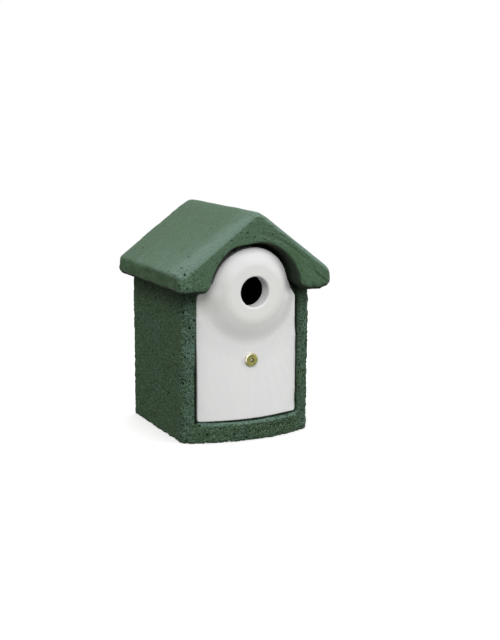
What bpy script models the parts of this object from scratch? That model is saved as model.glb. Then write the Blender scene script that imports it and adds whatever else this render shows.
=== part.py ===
"""Woodcrete nest box.

A cast body with a gable roof, a bowed lift-off front with a domed collar round the
entrance hole, a turn latch behind that front, and a steel hanger on the back.
Metres, +Z up. The front faces -Y, and the origin is the bottom centre of the box.
"""

import math

import bmesh
import bpy
from mathutils import Vector

# Cast body
BODY_WIDTH_AT_FLOOR = 0.1471
BODY_WIDTH_AT_EAVES = 0.1477
BODY_DEPTH = 0.1405
BODY_BOW = 0.0170
BODY_CORNER_RADIUS = 0.0040
BODY_FOOT_RADIUS = 0.0015
EAVES_HEIGHT = 0.1613
SILL_HEIGHT = 0.0215
JAMB_WIDTH = 0.01405
OPENING_EDGE_RADIUS = 0.0048
BACK_WALL = 0.0180

# Cast roof
SIDE_OVERHANG = 0.0134
FRONT_OVERHANG = 0.0280
BACK_OVERHANG = 0.0130
ROOF_PITCH = math.radians(37.15)
FASCIA_HEIGHT = 0.0178
RIDGE_RADIUS = 0.0100
FASCIA_TOP_RADIUS = 0.0090
SOFFIT_RADIUS = 0.0070
LEAST_RADIUS = 0.0007
GABLE_EDGE_RADIUS = 0.0070
ARCH_GAP = 0.0030
ARCH_RISE = 0.0010
ARCH_FOOT_RADIUS = 0.0090

# Lift-off front, and the seat that the chamber's narrower tunnel leaves behind it
FRONT_SIDE_GAP = 0.0022
FRONT_BOW = 0.0098
FRONT_RECESS = 0.0053
FRONT_FOOT_RADIUS = 0.0030
FRONT_SEAT_DEPTH = 0.0063
FRONT_SEAT_WIDTH = 0.0043
SHOULDER_DROP = 0.0033
SHOULDER_RADIUS = 0.0060
SHOULDER_ANGLE = math.radians(129.0)
HEAD_INSET = 0.0103
NECK_RADIUS = 0.0060

# Entrance hole and its domed collar
ENTRANCE_DIAMETER = 0.0320
ENTRANCE_DROP = 0.0020
ENTRANCE_LENGTH = 0.0150
ENTRANCE_RIM_RADIUS = 0.0015
COLLAR_RISE = 0.0095
COLLAR_FACE_WIDTH = 0.0130
COLLAR_SKIRT = 0.0100
DISH_LEDGE = 0.0150
DISH_FLARE = 0.0050
FACE_RING_STEP = 0.0180

# Turn latch on one bolt through the front
BOLT_DIAMETER = 0.0060
BOLT_HEAD_DIAMETER = 0.0132
BOLT_HEAD_THICKNESS = 0.0024
BOLT_HEAD_CHAMFER = 0.0008
BOLT_TAIL = 0.0015
SOCKET_ACROSS_FLATS = 0.0040
SOCKET_DEPTH = 0.0016
WASHER_DIAMETER = 0.0180
WASHER_THICKNESS = 0.0016
SPRING_WASHER_DIAMETER = 0.0110
SPRING_WASHER_THICKNESS = 0.0016
SPRING_WASHER_LIFT = 0.0006
SPRING_WASHER_SPLIT = math.radians(16.0)
NUT_ACROSS_FLATS = 0.0100
JAM_NUT_THICKNESS = 0.0032
LOCK_NUT_THICKNESS = 0.0050
NUT_CHAMFER = 0.0005
BAR_GRIP = 0.0055
BAR_WIDTH = 0.0150
BAR_THICKNESS = 0.0030
BAR_FLOOR_CLEARANCE = 0.0062
POCKET_REACH_CLEARANCE = 0.0020
POCKET_SIDE_CLEARANCE = 0.0008

# Hanger on the back
HANGER_DROP = 0.0353
HANGER_STRIP_WIDTH = 0.0220
HANGER_STRIP_THICKNESS = 0.0020
HANGER_PLATE_WIDTH = 0.0440
HANGER_FOOT_LENGTH = 0.0220
HANGER_LEG_RUN = 0.0050
HANGER_BEND_RADIUS = 0.0035
NAIL_HOLE_DIAMETER = 0.0085
SCREW_DIAMETER = 0.0036
SCREW_OVERREACH = 0.0015
SCREW_HEAD_DIAMETER = 0.0080
SCREW_HEAD_THICKNESS = 0.0028
SCREW_SLOT_LENGTH = 0.0048
SCREW_SLOT_WIDTH = 0.0010
SCREW_SLOT_DEPTH = 0.0014
SCREW_TIP_SHARE = 0.3
SCREW_CROWN_SHARES = ((1.0, 0.35), (0.86, 0.78), (0.5, 1.0))
PLUG_DIAMETER = 0.0068
PLUG_COVER = 0.0035
PLUG_HOLE_MARGIN = 0.0008

# Clearances and working lengths
TOUCH_GAP = 0.0003
OVERRUN = 0.0050

# Angles under which neighbouring facets shade as one surface
CASTING_SMOOTH_ANGLE = math.radians(35.0)
METAL_SMOOTH_ANGLE = math.radians(30.0)
OPENING_EDGE_ANGLE = math.radians(40.0)

# Counts of facets
CORNER_STEPS = 4
EDGE_STEPS = 3
BOW_STEPS = 16
ARCH_STEPS = 28
RING_STEPS = 56
BOLT_STEPS = 32
SMALL_STEPS = 20
COLLAR_STEPS = 8

# Overall sizes that follow from the pieces
ROOF_WIDTH = BODY_WIDTH_AT_EAVES + 2 * SIDE_OVERHANG
ROOF_DEPTH = FRONT_OVERHANG + BODY_DEPTH + BACK_OVERHANG
FRONT_WIDTH = BODY_WIDTH_AT_FLOOR - 2 * (JAMB_WIDTH + FRONT_SIDE_GAP)
HEAD_RADIUS = FRONT_WIDTH / 2 - HEAD_INSET
ARCH_RADIUS = HEAD_RADIUS + ARCH_GAP
COLLAR_FACE_RADIUS = ENTRANCE_DIAMETER / 2 + COLLAR_FACE_WIDTH
COLLAR_RADIUS = HEAD_RADIUS + COLLAR_SKIRT
DISH_RADIUS = ENTRANCE_DIAMETER / 2 + DISH_LEDGE
CHAMBER_HALF_WIDTH = FRONT_WIDTH / 2 - FRONT_SEAT_WIDTH
BAR_LENGTH = 2 * (CHAMBER_HALF_WIDTH + BAR_GRIP)
FRONT_BOW_RADIUS = ((FRONT_WIDTH / 2) ** 2 + FRONT_BOW**2) / (2 * FRONT_BOW)
PLUG_LENGTH = BACK_WALL - PLUG_COVER
SCREW_LENGTH = PLUG_LENGTH + SCREW_OVERREACH

# Places that follow, front to back and then floor to ridge
ROOF_FRONT_Y = -ROOF_DEPTH / 2
ROOF_BACK_Y = ROOF_DEPTH / 2
BODY_CORNER_Y = ROOF_FRONT_Y + FRONT_OVERHANG
BODY_FRONT_Y = BODY_CORNER_Y - BODY_BOW
BODY_BACK_Y = BODY_CORNER_Y + BODY_DEPTH
FRONT_FACE_Y = BODY_FRONT_Y + FRONT_RECESS
COLLAR_FACE_Y = FRONT_FACE_Y - COLLAR_RISE
SEAT_Y = BODY_CORNER_Y + FRONT_SEAT_DEPTH
FRONT_BACK_Y = SEAT_Y - TOUCH_GAP
CHAMBER_BACK_Y = BODY_BACK_Y - BACK_WALL
FRONT_FOOT_Z = SILL_HEIGHT + TOUCH_GAP
BOLT_HEIGHT = SILL_HEIGHT + BAR_FLOOR_CLEARANCE + BAR_LENGTH / 2
ENTRANCE_HEIGHT = EAVES_HEIGHT - ENTRANCE_DROP
SHOULDER_HEIGHT = ENTRANCE_HEIGHT - SHOULDER_DROP
HANGER_HEIGHT = EAVES_HEIGHT - HANGER_DROP
WALL_TOP_Z = EAVES_HEIGHT - TOUCH_GAP


def remove_scene_objects():
    """Start from an empty scene."""
    for thing in list(bpy.data.objects):
        bpy.data.objects.remove(thing, do_unlink=True)


def make_material(name, colour, roughness, metallic=0.0):
    """A plain surface with the part's colour, roughness and metallic value."""
    material = bpy.data.materials.new(name)
    material.use_nodes = True
    shader = material.node_tree.nodes["Principled BSDF"]
    shader.inputs["Base Color"].default_value = (*colour, 1.0)
    shader.inputs["Roughness"].default_value = roughness
    shader.inputs["Metallic"].default_value = metallic
    return material


def arc_points(centre, radius, start, end, steps):
    """Points of an arc in a plane, both ends included."""
    points = []
    for step in range(steps + 1):
        angle = start + (end - start) * step / steps
        points.append((centre[0] + radius * math.cos(angle), centre[1] + radius * math.sin(angle)))
    return points


def fillet(before, corner, after, radius, steps=CORNER_STEPS):
    """Points of the arc that rounds a corner between two straight edges."""
    corner = Vector(corner)
    to_before = (Vector(before) - corner).normalized()
    to_after = (Vector(after) - corner).normalized()
    half_angle = to_before.angle(to_after) / 2
    setback = radius / math.tan(half_angle)
    centre = corner + (to_before + to_after).normalized() * radius / math.sin(half_angle)
    first = corner + to_before * setback - centre
    last = corner + to_after * setback - centre
    start = math.atan2(first.y, first.x)
    turn = math.atan2(first.x * last.y - first.y * last.x, first.dot(last))
    return arc_points(centre, radius, start, start + turn, steps)


def rounded_outline(corners, radii):
    """A closed outline whose corners are rounded by their radii."""
    outline = []
    for index, (corner, radius) in enumerate(zip(corners, radii)):
        before = corners[index - 1]
        after = corners[(index + 1) % len(corners)]
        outline += fillet(before, corner, after, radius) if radius > 0 else [corner]
    return outline


def lofted_mesh(loops, capped=True):
    """A closed mesh through loops with the same number of points each.

    Without caps the last loop joins the first one, as on a ring.
    """
    shape = bmesh.new()
    rings = [[shape.verts.new(point) for point in loop] for loop in loops]
    pairs = list(zip(rings, rings[1:]))
    if capped:
        shape.faces.new(rings[0])
        shape.faces.new(rings[-1])
    else:
        pairs.append((rings[-1], rings[0]))
    for lower, upper in pairs:
        for index in range(len(lower)):
            following = (index + 1) % len(lower)
            shape.faces.new((lower[index], lower[following], upper[following], upper[index]))
    bmesh.ops.recalc_face_normals(shape, faces=shape.faces)
    return shape


def link_object(name, shape, material=None, location=(0, 0, 0), smooth_angle=None):
    """Turn a mesh in world places into a named object with its origin at location."""
    mesh = bpy.data.meshes.new(name)
    bmesh.ops.translate(shape, verts=shape.verts, vec=-Vector(location))
    shape.to_mesh(mesh)
    shape.free()
    thing = bpy.data.objects.new(name, mesh)
    thing.location = location
    bpy.context.scene.collection.objects.link(thing)
    if material:
        mesh.materials.append(material)
    if smooth_angle is not None:
        smooth(thing, smooth_angle)
    return thing


def smooth(thing, angle):
    """Shade an object smooth but for the edges that turn by more than an angle."""
    thing.data.shade_smooth()
    thing.data.set_sharp_from_angle(angle=angle)


def prism_along_y(outline, start, end):
    """A bar along Y whose cross section is an outline in X and Z."""
    return lofted_mesh([[(x, y, z) for x, z in outline] for y in (start, end)])


def disc_points(radius, steps, y, centre_x=0, centre_z=0):
    """A ring of points round an axis that runs along Y."""
    ring = []
    for step in range(steps):
        angle = math.tau * step / steps
        ring.append((centre_x + radius * math.cos(angle), y, centre_z + radius * math.sin(angle)))
    return ring


def turned_along_y(profile, steps, centre_x=0, centre_z=0, capped=True):
    """A turned shape from (radius, y) pairs round an axis along Y."""
    loops = [disc_points(radius, steps, y, centre_x, centre_z) for radius, y in profile]
    return lofted_mesh(loops, capped)


def combine(target, name, shape, operation):
    """Cut, join or intersect the target with a hidden guide shape."""
    guide = link_object(name, shape)
    guide.hide_render = True
    guide.display_type = "WIRE"
    modifier = target.modifiers.new(name, "BOOLEAN")
    modifier.operation = operation
    modifier.solver = "EXACT"
    modifier.object = guide


def settle(thing):
    """Replace an object's mesh by its shape with the modifiers in place."""
    bpy.context.view_layer.update()
    graph = bpy.context.evaluated_depsgraph_get()
    mesh = bpy.data.meshes.new_from_object(thing.evaluated_get(graph))
    guides = [modifier.object for modifier in thing.modifiers if modifier.type == "BOOLEAN"]
    thing.modifiers.clear()
    thing.data = mesh
    mesh.name = thing.name
    for guide in guides:
        bpy.data.objects.remove(guide, do_unlink=True)


def round_edges(thing, is_chosen, radius, steps):
    """Round the edges of a settled object that satisfy a test."""
    shape = bmesh.new()
    shape.from_mesh(thing.data)
    edges = [edge for edge in shape.edges if is_chosen(edge)]
    bmesh.ops.bevel(
        shape, geom=edges, offset=radius, segments=steps, profile=0.5, affect="EDGES", clamp_overlap=True
    )
    shape.to_mesh(thing.data)
    shape.free()


def front_outline(inset):
    """The outline of the lift-off front in X and Z, drawn in by an inset.

    Straight sides, sloping shoulders, and a round head about the entrance hole.
    """
    half_width = FRONT_WIDTH / 2 - inset
    foot = FRONT_FOOT_Z + inset
    head = HEAD_RADIUS - inset
    slope = Vector((math.cos(SHOULDER_ANGLE), math.sin(SHOULDER_ANGLE)))
    shoulder = Vector((half_width, SHOULDER_HEIGHT - inset * math.tan(SHOULDER_ANGLE / 2 - math.pi / 4)))
    from_axis = shoulder - Vector((0, ENTRANCE_HEIGHT))
    along = from_axis.dot(slope)
    run = -along - math.sqrt(along**2 - from_axis.length_squared + head**2)
    neck = shoulder + slope * run
    neck_angle = math.atan2(neck.y - ENTRANCE_HEIGHT, neck.x)
    trim = NECK_RADIUS / HEAD_RADIUS
    head_start = neck_angle + trim
    head_points = arc_points((0, ENTRANCE_HEIGHT), head, head_start, math.pi - head_start, ARCH_STEPS)
    foot_corner = fillet((0, foot), (half_width, foot), shoulder, FRONT_FOOT_RADIUS)
    shoulder_corner = fillet((half_width, foot), shoulder, neck, SHOULDER_RADIUS)
    neck_bend = [neck - slope * NECK_RADIUS * trim]
    right = foot_corner + shoulder_corner + neck_bend
    left = [(-point[0], point[1]) for point in reversed(right)]
    return [tuple(point) for point in right + head_points + left]


def chamber_outline(raised_floor):
    """The chamber's cross section, with its floor level with the sill."""
    outline = front_outline(FRONT_SEAT_WIDTH)
    lowest = min(z for _, z in outline)
    return [(x, raised_floor if z < lowest + TOUCH_GAP else z) for x, z in outline]


def body_plan(half_width, inset):
    """The body's outline in X and Y: a straight back and sides and a bowed front."""
    half = half_width - inset
    back = BODY_BACK_Y - inset
    corner_y = BODY_CORNER_Y + inset
    bow = BODY_BOW
    radius = (half**2 + bow**2) / (2 * bow)
    centre_y = corner_y - bow + radius
    reach = math.asin(half / radius)
    trim = BODY_CORNER_RADIUS / radius
    arc = arc_points(
        (0, centre_y), radius, -math.pi / 2 - reach + trim, -math.pi / 2 + reach - trim, BOW_STEPS
    )
    corner_radius = BODY_CORNER_RADIUS - inset
    back_right = fillet((half, corner_y), (half, back), (-half, back), corner_radius)
    back_left = fillet((half, back), (-half, back), (-half, corner_y), corner_radius)
    front_left = fillet((-half, back), (-half, corner_y), arc[0], corner_radius)
    front_right = fillet(arc[-1], (half, corner_y), (half, back), corner_radius)
    return back_right + back_left + front_left + arc[1:-1] + front_right


def build_body_shell(material):
    """Walls, back, floor and sill in one casting, with pockets for the latch bar."""
    floor_half = BODY_WIDTH_AT_FLOOR / 2
    top_half = BODY_WIDTH_AT_EAVES / 2
    levels = []
    for angle in (0, math.pi / 4, math.pi / 2):
        inset = BODY_FOOT_RADIUS * (1 - math.sin(angle))
        levels.append((floor_half, inset, BODY_FOOT_RADIUS * (1 - math.cos(angle))))
    levels.append((top_half, 0, WALL_TOP_Z))
    loops = [[(x, y, z) for x, y in body_plan(half, inset)] for half, inset, z in levels]
    body = link_object("body_shell", lofted_mesh(loops), material)

    opening_half = FRONT_WIDTH / 2 + FRONT_SIDE_GAP
    opening = rounded_outline(
        [
            (-opening_half, SILL_HEIGHT),
            (opening_half, SILL_HEIGHT),
            (opening_half, WALL_TOP_Z + OVERRUN),
            (-opening_half, WALL_TOP_Z + OVERRUN),
        ],
        [FRONT_FOOT_RADIUS / 2, FRONT_FOOT_RADIUS / 2, 0, 0],
    )
    combine(body, "front_opening", prism_along_y(opening, BODY_FRONT_Y - OVERRUN, SEAT_Y), "DIFFERENCE")
    chamber = prism_along_y(chamber_outline(SILL_HEIGHT), SEAT_Y - OVERRUN, CHAMBER_BACK_Y)
    combine(body, "chamber", chamber, "DIFFERENCE")
    combine(body, "bar_pockets", bar_pockets(), "DIFFERENCE")
    for side, x in screw_places():
        hole = turned_along_y(
            [
                (PLUG_DIAMETER / 2 + TOUCH_GAP, BODY_BACK_Y - PLUG_LENGTH - PLUG_HOLE_MARGIN),
                (PLUG_DIAMETER / 2 + TOUCH_GAP, BODY_BACK_Y + OVERRUN),
            ],
            SMALL_STEPS,
            x,
            HANGER_HEIGHT,
        )
        combine(body, f"plug_hole_{side}", hole, "DIFFERENCE")
    settle(body)

    def on_opening_edge(edge):
        """True on the front edge of the opening, along the sill and both jambs."""
        for vert in edge.verts:
            x, y, z = vert.co
            bow_y = bow_front_y(x, z)
            if abs(y - bow_y) > TOUCH_GAP or z < SILL_HEIGHT - TOUCH_GAP:
                return False
            if abs(x) > opening_half + TOUCH_GAP:
                return False
        return edge.calc_face_angle(0) > OPENING_EDGE_ANGLE

    round_edges(body, on_opening_edge, OPENING_EDGE_RADIUS, EDGE_STEPS)
    smooth(body, CASTING_SMOOTH_ANGLE)


def bow_front_y(x, z):
    """Y of the body's bowed front face at a place across it."""
    share = min(max((z - BODY_FOOT_RADIUS) / (WALL_TOP_Z - BODY_FOOT_RADIUS), 0), 1)
    half = (BODY_WIDTH_AT_FLOOR + (BODY_WIDTH_AT_EAVES - BODY_WIDTH_AT_FLOOR) * share) / 2
    radius = (half**2 + BODY_BOW**2) / (2 * BODY_BOW)
    return BODY_FRONT_Y + radius - math.sqrt(radius**2 - x**2)


def bar_place():
    """Y of the front and the back of the latch bar."""
    start = FRONT_BACK_Y + TOUCH_GAP + WASHER_THICKNESS + TOUCH_GAP
    start += SPRING_WASHER_THICKNESS + SPRING_WASHER_LIFT + TOUCH_GAP
    start += JAM_NUT_THICKNESS + TOUCH_GAP
    return start, start + BAR_THICKNESS


def bar_pockets():
    """Slots in both side walls that the ends of the turned latch bar enter."""
    front, back = bar_place()
    reach = BAR_LENGTH / 2 + POCKET_REACH_CLEARANCE
    half_height = math.sqrt(reach**2 - CHAMBER_HALF_WIDTH**2) + POCKET_REACH_CLEARANCE
    outline = rounded_outline(
        [
            (-reach, BOLT_HEIGHT - half_height),
            (reach, BOLT_HEIGHT - half_height),
            (reach, BOLT_HEIGHT + half_height),
            (-reach, BOLT_HEIGHT + half_height),
        ],
        [POCKET_REACH_CLEARANCE] * 4,
    )
    return prism_along_y(outline, front - POCKET_SIDE_CLEARANCE, back + POCKET_SIDE_CLEARANCE)


def roof_profile(inset):
    """The roof's cross section in X and Z, drawn in by an inset."""
    half = ROOF_WIDTH / 2
    rise = math.tan(ROOF_PITCH)
    apex = EAVES_HEIGHT + FASCIA_HEIGHT + half * rise - inset / math.cos(ROOF_PITCH)
    edge = half - inset
    low = EAVES_HEIGHT + inset
    fascia_top = apex - edge * rise
    corners = [(-edge, low), (edge, low), (edge, fascia_top), (0, apex), (-edge, fascia_top)]
    radii = [
        max(radius - inset, LEAST_RADIUS)
        for radius in (SOFFIT_RADIUS, SOFFIT_RADIUS, FASCIA_TOP_RADIUS, RIDGE_RADIUS, FASCIA_TOP_RADIUS)
    ]
    return rounded_outline(corners, radii)


def arch_outline():
    """The arch through the front gable, with rounded feet that flare to the soffit."""
    centre_z = ENTRANCE_HEIGHT + ARCH_RISE
    foot_x = ARCH_RADIUS + ARCH_FOOT_RADIUS
    foot_centre = (foot_x, EAVES_HEIGHT + ARCH_FOOT_RADIUS)
    foot = arc_points(foot_centre, ARCH_FOOT_RADIUS, -math.pi / 2, -math.pi, CORNER_STEPS)
    spring = math.asin((EAVES_HEIGHT + ARCH_FOOT_RADIUS - centre_z) / ARCH_RADIUS)
    arch = arc_points((0, centre_z), ARCH_RADIUS, spring, math.pi - spring, ARCH_STEPS)
    right = [(foot_x, EAVES_HEIGHT - OVERRUN)] + foot[:-1]
    left = [(-x, z) for x, z in reversed(right)]
    return right + arch + left


def build_roof(material):
    """Gable roof casting with the arch over the front and the top of the chamber."""
    stations = []
    for step in range(CORNER_STEPS + 1):
        angle = math.pi / 2 * step / CORNER_STEPS
        inset = GABLE_EDGE_RADIUS * (1 - math.sin(angle))
        stations.append((inset, GABLE_EDGE_RADIUS * (1 - math.cos(angle))))
    front = [(inset, ROOF_FRONT_Y + depth) for inset, depth in stations]
    back = [(inset, ROOF_BACK_Y - depth) for inset, depth in reversed(stations)]
    loops = [[(x, y, z) for x, z in roof_profile(inset)] for inset, y in front + back]
    roof = link_object("roof", lofted_mesh(loops), material)
    arch = prism_along_y(arch_outline(), ROOF_FRONT_Y - OVERRUN, SEAT_Y)
    combine(roof, "arch", arch, "DIFFERENCE")
    vault = prism_along_y(chamber_outline(SILL_HEIGHT), SEAT_Y - OVERRUN, CHAMBER_BACK_Y)
    combine(roof, "vault", vault, "DIFFERENCE")
    settle(roof)
    smooth(roof, CASTING_SMOOTH_ANGLE)


def front_face_y(x, z):
    """Y of the lift-off front's face: bowed, and domed round the entrance hole."""
    across = min(abs(x), FRONT_WIDTH / 2 + OVERRUN)
    bowed = FRONT_FACE_Y + FRONT_BOW_RADIUS - math.sqrt(FRONT_BOW_RADIUS**2 - across**2)
    radius = math.hypot(x, z - ENTRANCE_HEIGHT)
    share = (radius - COLLAR_FACE_RADIUS) / (COLLAR_RADIUS - COLLAR_FACE_RADIUS)
    share = min(max(share, 0), 1)
    blend = share**2 * (3 - 2 * share)
    return COLLAR_FACE_Y + (bowed - COLLAR_FACE_Y) * blend


def build_front_panel(material, parent):
    """Lift-off front, lofted in rings about the entrance hole and cut to its outline."""
    entrance = ENTRANCE_DIAMETER / 2
    rim = ENTRANCE_RIM_RADIUS
    dish_y = COLLAR_FACE_Y + ENTRANCE_LENGTH
    loops = []
    for angle in (0, math.pi / 4):
        radius = entrance + rim * (1 - math.cos(angle))
        y = COLLAR_FACE_Y + rim * (1 - math.sin(angle))
        loops.append(disc_points(radius, RING_STEPS, y, 0, ENTRANCE_HEIGHT))
    radii = [entrance + rim]
    radii += [
        COLLAR_FACE_RADIUS + (COLLAR_RADIUS - COLLAR_FACE_RADIUS) * step / COLLAR_STEPS
        for step in range(COLLAR_STEPS + 1)
    ]
    farthest = math.hypot(FRONT_WIDTH / 2, ENTRANCE_HEIGHT - FRONT_FOOT_Z) + OVERRUN
    outer_count = math.ceil((farthest - COLLAR_RADIUS) / FACE_RING_STEP)
    radii += [
        COLLAR_RADIUS + (farthest - COLLAR_RADIUS) * step / outer_count for step in range(1, outer_count + 1)
    ]
    for radius in radii:
        ring = disc_points(radius, RING_STEPS, 0, 0, ENTRANCE_HEIGHT)
        loops.append([(x, front_face_y(x, z), z) for x, _, z in ring])
    for radius, y in (
        (farthest, FRONT_BACK_Y),
        (DISH_RADIUS + DISH_FLARE, FRONT_BACK_Y),
        (DISH_RADIUS, dish_y),
        (entrance, dish_y),
    ):
        loops.append(disc_points(radius, RING_STEPS, y, 0, ENTRANCE_HEIGHT))
    panel = link_object("front_panel", lofted_mesh(loops, capped=False), material)
    outline = prism_along_y(front_outline(0), COLLAR_FACE_Y - OVERRUN, FRONT_BACK_Y + OVERRUN)
    combine(panel, "front_trim", outline, "INTERSECT")
    bolt_hole = turned_along_y(
        [
            (BOLT_DIAMETER / 2 + TOUCH_GAP, BODY_FRONT_Y - OVERRUN),
            (BOLT_DIAMETER / 2 + TOUCH_GAP, FRONT_BACK_Y + OVERRUN),
        ],
        BOLT_STEPS,
        0,
        BOLT_HEIGHT,
    )
    combine(panel, "bolt_hole", bolt_hole, "DIFFERENCE")
    settle(panel)
    smooth(panel, CASTING_SMOOTH_ANGLE)
    panel.parent = parent
    panel.location = -parent.location


def make_pivot(name, location, parent=None):
    """An empty at the axis of a joint."""
    pivot = bpy.data.objects.new(name, None)
    bpy.context.scene.collection.objects.link(pivot)
    pivot.location = location
    if parent:
        pivot.parent = parent
        pivot.location = Vector(location) - parent.location
    return pivot


def latch_object(name, shape, material, pivot, pivot_place, smooth_angle=None):
    """An object of the latch, with its origin on the bolt's axis."""
    thing = link_object(name, shape, material, pivot_place, smooth_angle)
    thing.parent = pivot
    thing.location = (0, 0, 0)
    return thing


def hexagon(across_flats, centre_x, centre_z, y):
    """Six corners of a hexagon about an axis along Y."""
    return disc_points(across_flats / math.sqrt(3), 6, y, centre_x, centre_z)


def build_bolt(material, pivot, place, head_back_y, tail_y):
    """Bolt with a wide flat head, a chamfered rim and a hex socket."""
    head = BOLT_HEAD_DIAMETER / 2
    shank = BOLT_DIAMETER / 2
    face_y = head_back_y - BOLT_HEAD_THICKNESS
    profile = [
        (head - BOLT_HEAD_CHAMFER, face_y),
        (head, face_y + BOLT_HEAD_CHAMFER),
        (head, head_back_y),
        (shank, head_back_y),
        (shank, tail_y - NUT_CHAMFER),
        (shank - NUT_CHAMFER, tail_y),
    ]
    shape = turned_along_y(profile, BOLT_STEPS, 0, BOLT_HEIGHT)
    bolt = latch_object("latch_bolt", shape, material, pivot, place)
    socket = lofted_mesh(
        [hexagon(SOCKET_ACROSS_FLATS, 0, BOLT_HEIGHT, y) for y in (face_y - OVERRUN, face_y + SOCKET_DEPTH)]
    )
    combine(bolt, "hex_socket", socket, "DIFFERENCE")
    settle(bolt)
    smooth(bolt, METAL_SMOOTH_ANGLE)


def washer_shape(outer, start, thickness):
    """Flat ring on the bolt's axis."""
    bore = BOLT_DIAMETER / 2 + TOUCH_GAP
    end = start + thickness
    profile = [(bore, start), (outer, start), (outer, end), (bore, end)]
    return turned_along_y(profile, BOLT_STEPS, 0, BOLT_HEIGHT, capped=False)


def spring_washer_shape(start):
    """Split ring whose two ends stand apart along the axis."""
    inner = BOLT_DIAMETER / 2 + TOUCH_GAP
    outer = SPRING_WASHER_DIAMETER / 2
    loops = []
    for step in range(BOLT_STEPS + 1):
        share = step / BOLT_STEPS
        angle = SPRING_WASHER_SPLIT / 2 + (math.tau - SPRING_WASHER_SPLIT) * share
        front = start + SPRING_WASHER_LIFT * share
        back = front + SPRING_WASHER_THICKNESS
        section = []
        for radius, y in ((inner, front), (outer, front), (outer, back), (inner, back)):
            section.append((radius * math.cos(angle), y, BOLT_HEIGHT + radius * math.sin(angle)))
        loops.append(section)
    return lofted_mesh(loops)


def build_nut(name, material, pivot, place, start, thickness):
    """Hexagon nut with chamfered corners, bored for the bolt."""
    end = start + thickness
    full = NUT_ACROSS_FLATS
    eased = full - NUT_CHAMFER
    levels = [(eased, start), (full, start + NUT_CHAMFER), (full, end - NUT_CHAMFER), (eased, end)]
    loops = [hexagon(across, 0, BOLT_HEIGHT, y) for across, y in levels]
    nut = latch_object(name, lofted_mesh(loops), material, pivot, place)
    bore = BOLT_DIAMETER / 2 + TOUCH_GAP
    hole = turned_along_y([(bore, start - OVERRUN), (bore, end + OVERRUN)], BOLT_STEPS, 0, BOLT_HEIGHT)
    combine(nut, f"{name}_bore", hole, "DIFFERENCE")
    settle(nut)


def build_bar(material, pivot, place, start):
    """Flat steel bar with round ends, upright while the front is free."""
    half = BAR_WIDTH / 2
    straight = BAR_LENGTH / 2 - half
    outline = arc_points((0, BOLT_HEIGHT + straight), half, 0, math.pi, BOLT_STEPS // 2)
    outline += arc_points((0, BOLT_HEIGHT - straight), half, math.pi, math.tau, BOLT_STEPS // 2)
    end = start + BAR_THICKNESS
    bar = latch_object("latch_bar", prism_along_y(outline, start, end), material, pivot, place)
    bore = BOLT_DIAMETER / 2 + TOUCH_GAP
    hole = turned_along_y([(bore, start - OVERRUN), (bore, end + OVERRUN)], BOLT_STEPS, 0, BOLT_HEIGHT)
    combine(bar, "latch_bar_bore", hole, "DIFFERENCE")
    settle(bar)


def build_latch(materials, parent):
    """Bolt, washers, nuts and bar, in order from the front's face to its back."""
    place = (0, FRONT_BACK_Y, BOLT_HEIGHT)
    pivot = make_pivot("latch_axis", place, parent)
    zinc, steel = materials
    washer_y = FRONT_BACK_Y + TOUCH_GAP
    spring_y = washer_y + WASHER_THICKNESS + TOUCH_GAP
    jam_y = spring_y + SPRING_WASHER_THICKNESS + SPRING_WASHER_LIFT + TOUCH_GAP
    bar_y, bar_end = bar_place()
    lock_y = bar_end + TOUCH_GAP
    tail_y = lock_y + LOCK_NUT_THICKNESS + BOLT_TAIL
    head_top_z = BOLT_HEIGHT + BOLT_HEAD_DIAMETER / 2
    head_back_y = min(front_face_y(0, BOLT_HEIGHT), front_face_y(0, head_top_z)) - TOUCH_GAP
    build_bolt(zinc, pivot, place, head_back_y, tail_y)
    washer = washer_shape(WASHER_DIAMETER / 2, washer_y, WASHER_THICKNESS)
    latch_object("latch_washer", washer, zinc, pivot, place, METAL_SMOOTH_ANGLE)
    latch_object(
        "latch_spring_washer", spring_washer_shape(spring_y), steel, pivot, place, METAL_SMOOTH_ANGLE
    )
    build_nut("latch_jam_nut", zinc, pivot, place, jam_y, JAM_NUT_THICKNESS)
    build_bar(steel, pivot, place, bar_y)
    build_nut("latch_lock_nut", zinc, pivot, place, lock_y, LOCK_NUT_THICKNESS)


def screw_places():
    """Side names and X places of the two hanger screws, mid-way along the strap's feet."""
    place = HANGER_PLATE_WIDTH / 2 + HANGER_LEG_RUN + HANGER_FOOT_LENGTH / 2
    return (("left", -place), ("right", place))


def hanger_line(offset):
    """Corners of the strap seen from above, on one of its two faces."""
    foot_y = BODY_BACK_Y + TOUCH_GAP + offset
    plate_y = ROOF_BACK_Y - HANGER_STRIP_THICKNESS + offset
    plate_half = HANGER_PLATE_WIDTH / 2
    leg_half = plate_half + HANGER_LEG_RUN
    slant = math.atan2(plate_y - foot_y, HANGER_LEG_RUN)
    shift = offset * math.tan(slant / 2)
    foot_half = leg_half + HANGER_FOOT_LENGTH
    right = [(plate_half + shift, plate_y), (leg_half + shift, foot_y), (foot_half, foot_y)]
    left = [(-x, y) for x, y in reversed(right)]
    return left + right


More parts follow.
